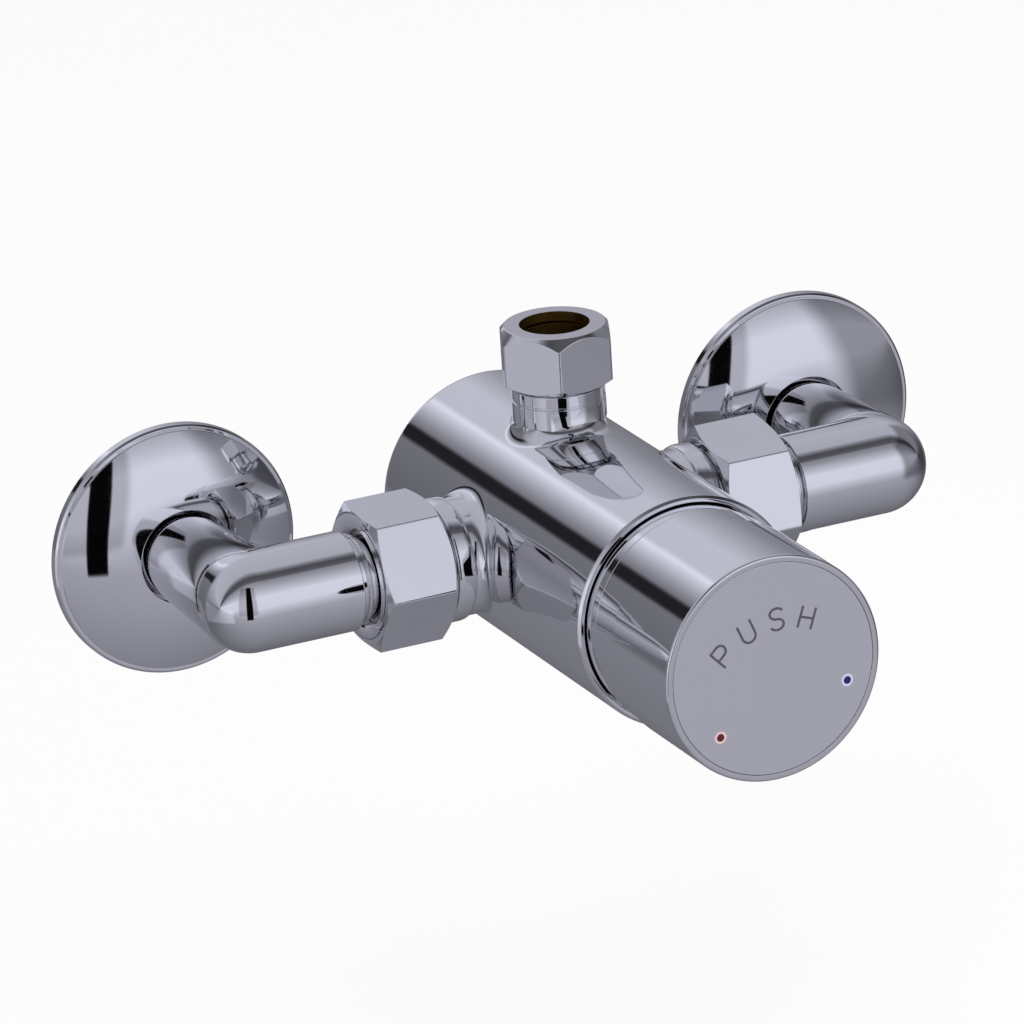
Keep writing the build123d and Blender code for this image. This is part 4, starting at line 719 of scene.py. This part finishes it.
class MIXER_OT_elbows(bpy.types.Operator):
    """Makes the two elbows: the arm to the union with its bead, the mitred corner and the threaded wall tail"""
    bl_idname = "mixer.elbows"
    bl_label = "Elbows"

    def execute(self, context):
        sizes = in_mm(context.scene.mixer_fitting)
        angles = np.linspace(0, 2 * pi, ELBOW_COLUMNS, endpoint=False)
        inside = np.maximum(np.cos(angles), 0)
        mitre = (ARM + sizes.mitre_round) * inside
        nut_end = node_box("right_union_nut")[1][0]

        def at(distance):
            return ELBOW_X - nut_end - distance

        union_arm = rounded(stack(
            (WATERWAY, ELBOW_X - ARM_END), (9.2, ELBOW_X - ARM_END), (9.2, at(-3.6)), (8.7, at(-3.6)),
            (8.7, at(-1.9)), (9.2, at(-1.9)), (9.2, at(0.8)), (9.9, at(1.0)), (9.9, at(1.8)), (9.2, at(2.0)),
            (9.2, at(2.8)), (ARM, at(3.4)), (ARM, mitre + 6), (ARM, mitre + 2), (ARM, mitre + 0.5)),
            [0, 0.3, 0, 0, 0, 0, 0.1, 0.25, 0.25, 0.1, 0.1, 0.3, 0, 0, 0], 4)
        wall = -INLET_Y
        narrowed = ARM - (ARM - WALL_ARM) * np.array([0.5, 2, 6])[:, None] / (wall - 6 - mitre)
        wall_arm = rounded(stack(
            *[(radius, mitre + place) for radius, place in zip(narrowed, (0.5, 2, 6))], (WALL_ARM, wall - 6),
            (10.9, wall - 5), (10.9, wall - 0.6), (9.5, wall - 0.6), (9.5, wall + 0.6)),
            [0, 0, 0, 0.8, 0.3, 0.2, 0, 0])
        waterway = WATERWAY * inside
        for name, side in SIDES.items():
            corner = (side * ELBOW_X, INLET_Y, 0)
            inward = -side * RIGHTWARD
            to_union = corner, inward, (WALLWARD, UPWARD), angles
            to_wall = corner, WALLWARD, (inward, UPWARD), angles
            screw = thread(OUTLET_THREAD, sizes.thread_depth, sizes.thread_pitch, wall + THREAD_START,
                           wall + THREAD_END, angles, side)
            end = stack((OUTLET_THREAD - 1, wall + TAIL_END_Y), (WATERWAY, wall + TAIL_END_Y))
            outer = np.concatenate((
                turned(union_arm, *to_union),
                corner + bend(ARM, sizes.mitre_round, inward, WALLWARD, angles),
                turned(wall_arm, *to_wall),
                turned(screw, *to_wall),
                turned(end, *to_wall)))
            first_bore = stack((WATERWAY, ELBOW_X - ARM_END), (WATERWAY, waterway))
            second_bore = stack((WATERWAY, waterway), (WATERWAY, wall + TAIL_END_Y))
            bore = np.concatenate((
                turned(first_bore, *to_union),
                corner + bend(WATERWAY, 0.0, inward, WALLWARD, angles),
                turned(second_bore, *to_wall)))
            skin(name + "_elbow_pipe", [(outer, "chrome"), (bore, "brass")], "valve", [name + "_elbow"])
        return {"FINISHED"}


FLANGE_STEP = 1.3  # width of the flat step round the dome
STEP_Y = -2.4
DOME_Y = -2.8  # where the dome leaves the step
DOME_RISE = 1.1  # of its middle, over the straight line from step to hole
SHEET = 1.2
HUB_HOLE = 10.45
HUB_BORE = 11.1
HUB = 13.5


class MIXER_OT_flanges(bpy.types.Operator):
    """Makes the two domed wall flanges, pressed from sheet with a hub behind"""
    bl_idname = "mixer.flanges"
    bl_label = "Wall flanges"

    def execute(self, context):
        edge = FLANGE - FLANGE_STEP
        middle = np.array(((edge + HUB_HOLE) / 2, (FLANGE_FRONT_Y + DOME_Y) / 2 - DOME_RISE))
        dome = arc_through((edge, DOME_Y), middle, (HUB_HOLE, FLANGE_FRONT_Y), 32)
        under = arc_through((HUB, FLANGE_FRONT_Y + SHEET + 0.5), middle + (-0.3, SHEET), (edge - SHEET, 0), 20)
        rim = rounded(stack((edge - SHEET, 0), (FLANGE, 0), (FLANGE, STEP_Y + 0.5), (FLANGE - 0.5, STEP_Y),
                            (edge, STEP_Y), (edge, DOME_Y), dome[1]), [0, 0.12, 0.3, 0.3, 0.15, 0.1, 0])
        hub = rounded(stack(dome[-2], (HUB_HOLE, FLANGE_FRONT_Y), (HUB_HOLE, FLANGE_FRONT_Y + SHEET),
                            (HUB_BORE, FLANGE_FRONT_Y + SHEET), (HUB_BORE, -4), (HUB_BORE - 0.15, -4),
                            (HUB_BORE - 0.15, 0), (HUB, 0), under[0]), [0, 0.35, 0.2, 0, 0, 0, 0, 0, 0])
        outline = np.concatenate((rim, stack(*dome[2:-2]), hub, stack(*under[1:])))
        for name, side in SIDES.items():
            cover = turned(outline, (side * ELBOW_X, 0, 0), WALLWARD, (RIGHTWARD, UPWARD), 240)
            skin(name + "_flange_cover", [(cover, "chrome")], "valve", [name + "_wall_flange"])
        return {"FINISHED"}


# Knob

PLATE_RECESS = 0.06  # the satin face lies this far behind the rim, and the print stands on it
KNOB_REAR_Y = SLEEVE_HIGH[1] - 10.4
KNOB_BAND = 8.8  # width of the slightly narrower band at the rear
SHELL_BORE = 22.6
SHELL_FACE = 3.0  # thickness of the shell behind its face
RIM = 1.5
PLATE_SEAT = 1.1  # depth of the recess that holds the face
HUB_POST = 7.0
KNOB_RING = (RIGHTWARD, UPWARD)


def across_knob(places, depth):
    """Points seen from the front as (right, up), laid at a depth behind the knob's face."""
    return places[..., :1] * RIGHTWARD + places[..., 1:] * UPWARD + (KNOB_FACE_Y + depth) * WALLWARD


def knob_piece(name, outline, finish_name, node):
    """One turned piece of the knob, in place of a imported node."""
    surface = turned(outline, 0 * WALLWARD, WALLWARD, KNOB_RING, 256)
    skin(name, [(surface, finish_name)], "knob", [node])


class MIXER_OT_knob(bpy.types.Operator):
    """Makes the knob's shell with its hub, the sleeve that slides in the body and the satin face"""
    bl_idname = "mixer.knob"
    bl_label = "Knob"

    def execute(self, context):
        rear, face = KNOB_REAR_Y, KNOB_FACE_Y
        band = rear - KNOB_BAND
        seat = face + PLATE_SEAT
        shell = rounded(stack(
            (SHELL_BORE, rear), (KNOB - 0.7, rear), (KNOB - 0.4, rear - 0.3), (KNOB - 0.4, band),
            (KNOB, band - 0.4), (KNOB, face), (KNOB - RIM, face), (KNOB - RIM, seat), (3.05, seat),
            (3.05, face + 11.9), (1.6, face + 11.9), (1.6, face + 13.9), (3.5, face + 13.9), (3.5, face + 26),
            (HUB_POST, face + 26), (HUB_POST, face + SHELL_FACE), (SHELL_BORE, face + SHELL_FACE),
            (SHELL_BORE, rear)),
            [0, 0.1, 0.2, 0.15, 0.15, 1.25, 0.1, 0.1, 0, 0, 0, 0, 0, 0.3, 0.5, 0.5, 0.5, 0], 8)
        knob_piece("knob_cap", shell, "chrome", "knob_shell")
        ring, lap = SLEEVE_HIGH[2], SHELL_BORE - 0.05
        sleeve = rounded(stack(
            (lap, rear), (ring - 0.7, rear), (ring - 0.7, rear + 0.5), (ring, rear + 0.5), (ring, SLEEVE_HIGH[1]),
            (21.35, SLEEVE_HIGH[1]), (21.35, SLEEVE_LOW[1]), (lap, SLEEVE_LOW[1]), (lap, rear)),
            [0, 0.1, 0.1, 0.12, 0.45, 0.2, 0.2, 0.3, 0])
        knob_piece("knob_slide_ring", sleeve, "chrome", "knob_sleeve")
        edge, front = KNOB - RIM - 0.05, face + PLATE_RECESS
        plate = rounded(stack((0, seat - 0.01), (edge, seat - 0.01), (edge, front), (0, front)), [0, 0, 0.15, 0])
        knob_piece("knob_face", plate, "satin", "knob_face_plate")
        return {"FINISHED"}


MARK_CORE = 0.85  # radii of a mark's enamel and of its border
MARK_BORDER = 1.35


class MIXER_OT_marks(bpy.types.Operator):
    """Makes the hot and the cold mark, each a low enamel drop in a pale border"""
    bl_idname = "mixer.marks"
    bl_label = "Temperature marks"

    def execute(self, context):
        drop = rounded(stack((0, 0), (0.5, 0.006), (MARK_CORE - 0.01, 0.03), (MARK_CORE + 0.01, 0.3), (0, 0.3)),
                       [0, 0.3, 0.03, 0, 0])
        border = rounded(stack((MARK_CORE, 0.1), (MARK_CORE, 0.045), (MARK_BORDER, 0.045), (MARK_BORDER, 0.1),
                               (MARK_CORE, 0.1)), [0, 0, 0.01, 0, 0])
        for mark, paint in (("hot", "red"), ("cold", "blue")):
            low, high = node_box(mark + "_mark")
            middle = (low + high) / 2
            centre = (middle[0], KNOB_FACE_Y, middle[2])
            skin(mark + "_drop", [(turned(drop, centre, WALLWARD, KNOB_RING, 48), paint)], "knob",
                 [mark + "_mark"])
            skin(mark + "_border", [(turned(border, centre, WALLWARD, KNOB_RING, 48), paint + "_border")], "knob")
        return {"FINISHED"}


LETTER_STEP = 21.0  # degrees between two letters


def bow(centre, radii, start, end, steps=18):
    """An elliptic arc: centre + (across * cos, up * sin) of angles in degrees."""
    angles = np.radians(np.linspace(start, end, steps))
    return np.array(centre) + np.stack((radii[0] * np.cos(angles), radii[1] * np.sin(angles)), -1)


def stroke(path, half_width):
    """A pen stroke along a line, as rows of its two edges. At each point an edge lies at half_width
    * (n0 + n1) / (1 + n0 . n1) from the line, n0 and n1 being the normals of the runs that meet there."""
    run = np.diff(path, axis=0)
    normal = np.stack((-run[:, 1], run[:, 0]), -1) / np.linalg.norm(run, axis=-1, keepdims=True)
    before, after = np.concatenate((normal[:1], normal)), np.concatenate((normal, normal[-1:]))
    reach = half_width * (before + after) / (1 + (before * after).sum(-1, keepdims=True))
    return np.stack((path + reach, path - reach), 1)


def letter_strokes(width, height, pen):
    """The centre lines of P, U, S and H about each letter's middle."""
    x, z, bowl = width / 2, height / 2, 0.27 * height
    letter_p = [np.concatenate(([(-x, -z)], [(-x, z)], bow((x - bowl, z - bowl), (bowl, bowl), 90, -90),
                                [(pen / 2 - x, z - 2 * bowl)]))]
    letter_u = [np.concatenate(([(-x, z)], bow((0, x - z), (x, x), 180, 360), [(x, z)]))]
    letter_s = [np.concatenate((bow((0, z / 2), (x, z / 2), 25, 270), bow((0, -z / 2), (x, z / 2), 90, -155)[1:]))]
    letter_h = [np.array([(-x, -z), (-x, z)]), np.array([(x, -z), (x, z)]),
                np.array([(pen / 2 - x, 0), (x - pen / 2, 0)])]
    return letter_p, letter_u, letter_s, letter_h


class MIXER_OT_lettering(bpy.types.Operator):
    """Prints PUSH on the satin face, along an arc"""
    bl_idname = "mixer.lettering"
    bl_label = "Lettering"

    def execute(self, context):
        sizes = in_mm(context.scene.mixer_letters)
        down = np.array((np.sin(radians(KNOB_TURN)), -np.cos(radians(KNOB_TURN))))
        grids = []
        for index, strokes in enumerate(letter_strokes(sizes.width, sizes.height, sizes.stroke)):
            lean = radians((index - 1.5) * LETTER_STEP - KNOB_TURN)
            right, up = np.array((np.cos(lean), -np.sin(lean))), np.array((np.sin(lean), np.cos(lean)))
            middle = sizes.drop * down + sizes.arc * up
            for path in strokes:
                edges = middle + stroke(path, sizes.stroke / 2) @ np.array((right, up))
                front, rear = across_knob(edges, 0.0), across_knob(edges[:, ::-1], 0.12)
                loops = np.concatenate((front, rear), 1)
                ends = loops[[0, -1]].mean(1, keepdims=True) + 0 * loops[[0, -1]]
                grids.append((np.concatenate((ends[:1], loops, ends[1:])), "ink"))
        skin("push_lettering", grids, "knob", sharp=30.0)
        return {"FINISHED"}


# Stage

CAMERA_PLACE = (-0.7914551, -1.7677277, 0.6960756)
CAMERA_RIGHT = (0.9012, -0.4296, -0.0579)
CAMERA_UP = (0.1964, 0.2856, 0.9380)
LAMPS = (("overhead", (-0.2, -0.5, 1.1), 1.0, 9.0), ("front", (0.5, -1.2, 0.5), 0.8, 5.0))  # place, size, watts
FLOOR_REACH = 3.0
WHITE = (1.0, 1.0, 1.0, 1.0)
FLOOR_WHITE = (0.9, 0.9, 0.9, 1.0)
STUDIO_TINT = (0.86, 0.865, 1.0, 1.0)
SOFT_LIGHT = 0.55  # strength of the even light
SHADOW_LIFT = 0.88  # how far the floor turns to plain white for the camera
DISPLAY_POWER = 2.2
PLATING_LEVEL = 0.78  # share of the light that the plating gives back


def studio_light(graph):
    """What polished metal sees, as the strength of the studio's light in each direction: a tall box in front,
    a dark bar overhead with a second box behind it, a dim wall behind the object with a bright box over it, a
    dark gap beside the camera and a low box on the left. Levels are display lightness until the last line."""
    direction = graph.add("TexCoord", output="Generated")
    x, y, z = (graph.part(direction, axis) for axis in "XYZ")
    lean = y.math("ARCTAN2", y, z) * degrees(1)  # 0 overhead, 90 level behind, -90 level in front
    roll = x.math("ARCTAN2", x, z) * degrees(1)  # 0 overhead, 90 level on the right, -90 level on the left
    turn = x.math("ARCTAN2", x, -y) * degrees(1)  # 0 in front, 90 right, -90 left
    rise = z.math("ARCSINE", z) * degrees(1)
    around = lean.curve(
        (-180, 0.50), (-140, 0.58), (-112, 0.64), (-88, 0.85), (-64, 0.86), (-30, 0.54), (-26, 0.35),
        (-16, 0.30), (-2, 0.68), (40, 0.71), (75, 0.58), (100, 0.40), (130, 0.38), (180, 0.50))
    wall = roll.curve(
        (-180, 0.46), (-118, 0.50), (-110, 0.40), (-60, 0.45), (-56, 0.15), (-46, 0.15), (-42, 0.47),
        (-13, 0.90), (-7, 0.77), (24, 0.77), (75, 0.53), (140, 0.40), (180, 0.46))
    gap = turn.band(-26.5, -14.0, 1.5) * rise.band(-20.0, 50.0, 3.0)
    shade = turn.band(-42.0, -6.0, 6.0) * rise.band(-8.0, 48.0, 6.0)
    right_shade = turn.band(50.0, 115.0, 18.0) * rise.band(-16.0, 40.0, 14.0)
    left_box = turn.band(-130.0, -62.0, 10.0) * rise.band(-26.0, -4.0, 5.0)
    level = around * (1.0 - shade * 0.18) * (1.0 - right_shade * 0.32) + left_box * 0.14
    level = level * (1.0 - gap * 0.92)
    level = level + (wall - level) * y.rise(0.62, 0.78)
    return level ** DISPLAY_POWER / PLATING_LEVEL


def studio_world(scene):
    """White to the camera, the studio's boxes to metal, and even light for the rest."""
    world = bpy.data.worlds.new("studio")
    scene.world = world
    graph = Graph(world)
    seen = graph.add("Background", {}, {"Color": STUDIO_TINT, "Strength": studio_light(graph)})
    plain = graph.add("Background", {}, {"Color": WHITE, "Strength": SOFT_LIGHT})
    white = graph.add("Background", {}, {"Color": WHITE, "Strength": 1.0})
    camera = graph.ray("Camera") + graph.ray("Transmission")
    lit = graph.add("MixShader", {}, {0: graph.ray("Glossy"), 1: plain, 2: seen})
    backdrop = graph.add("MixShader", {}, {0: camera, 1: lit, 2: white})
    graph.add("OutputWorld", {}, {"Surface": backdrop})


def floor_paint():
    """Matte white that keeps its shadow for the camera; metal sees the studio's pale table instead."""
    material = bpy.data.materials.new("studio_floor")
    graph = Graph(material)
    camera = graph.ray("Camera") + graph.ray("Transmission")
    matte = graph.add("BsdfDiffuse", {}, {"Color": FLOOR_WHITE})
    bright = graph.add("Emission", {}, {"Color": WHITE, "Strength": 1.0})
    clear = graph.add("BsdfTransparent")
    shown = graph.add("MixShader", {}, {0: camera * SHADOW_LIFT, 1: matte, 2: bright})
    surface = graph.add("MixShader", {}, {0: graph.ray("Glossy"), 1: shown, 2: clear})
    graph.add("OutputMaterial", {}, {"Surface": surface})
    return material


class MIXER_OT_stage(bpy.types.Operator):
    """Makes the floor, the light and the camera"""
    bl_idname = "mixer.stage"
    bl_label = "Studio"

    def execute(self, context):
        scene = context.scene
        sizes = scene.mixer_stage
        scene.view_settings.view_transform = "Standard"
        studio_world(scene)
        mesh = bpy.data.meshes.new("studio_floor")
        corners = [(-1, -1), (1, -1), (1, 1), (-1, 1)]
        mesh.from_pydata([(x * FLOOR_REACH, y * FLOOR_REACH, -sizes.floor_drop) for x, y in corners], [],
                         [(0, 1, 2, 3)])
        mesh.materials.append(floor_paint())
        floor = bpy.data.objects.new("studio_floor", mesh)
        scene.collection.objects.link(floor)
        for name, place, size, power in LAMPS:
            light = bpy.data.lights.new(name, "AREA")
            light.energy, light.size = power, size
            lamp = bpy.data.objects.new(name, light)
            lamp.location = place
            lamp.rotation_euler = (-Vector(place)).to_track_quat("-Z", "Y").to_euler()
            lamp.visible_glossy = False
            scene.collection.objects.link(lamp)
        lens = bpy.data.cameras.new("camera")
        lens.lens = sizes.focal_length
        lens.sensor_width = 36.0
        lens.clip_end = 20.0
        camera = bpy.data.objects.new("camera", lens)
        right, up = Vector(CAMERA_RIGHT).normalized(), Vector(CAMERA_UP)
        back = right.cross(up).normalized()
        up = back.cross(right)
        turn = Matrix((right, up, back)).transposed().to_4x4()
        camera.matrix_world = Matrix.Translation(CAMERA_PLACE) @ turn
        scene.collection.objects.link(camera)
        scene.camera = camera
        return {"FINISHED"}


class MIXER_OT_finishes(bpy.types.Operator):
    """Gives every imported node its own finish"""
    bl_idname = "mixer.finishes"
    bl_label = "Finishes"

    def execute(self, context):
        for part in frame["record"]["subparts"]:
            materials = NODES[part["node"]].data.materials
            materials.clear()
            materials.append(finish(part["material_slot"]))
        return {"FINISHED"}


class MIXER_PT_panel(bpy.types.Panel):
    """Lists the makers of the mixer's pieces"""
    bl_label = "Timed shower mixer"
    bl_idname = "MIXER_PT_panel"
    bl_space_type = "VIEW_3D"
    bl_region_type = "UI"
    bl_category = "Mixer"

    def draw(self, context):
        for maker in OPERATORS:
            self.layout.operator(maker.bl_idname)


OPERATORS = (MIXER_OT_finishes, MIXER_OT_body, MIXER_OT_union_nuts, MIXER_OT_outlet_nut, MIXER_OT_elbows,
             MIXER_OT_flanges, MIXER_OT_knob, MIXER_OT_marks, MIXER_OT_lettering, MIXER_OT_stage)
GROUPS = {"mixer_body": BodySizes, "mixer_fitting": FittingSizes, "mixer_letters": LetterSizes,
          "mixer_finish": FinishColours, "mixer_stage": StageSizes}
CLASSES = (*GROUPS.values(), *OPERATORS, MIXER_PT_panel)


def register():
    for item in CLASSES:
        bpy.utils.register_class(item)
    for name, group in GROUPS.items():
        setattr(bpy.types.Scene, name, PointerProperty(type=group))


def unregister():
    for name in GROUPS:
        delattr(bpy.types.Scene, name)
    for item in reversed(CLASSES):
        bpy.utils.unregister_class(item)


def main():
    """Makes everything in order."""
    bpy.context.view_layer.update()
    register()
    for maker in OPERATORS:
        group, name = maker.bl_idname.split(".")
        getattr(getattr(bpy.ops, group), name)()


if __name__ == "__main__":
    main()
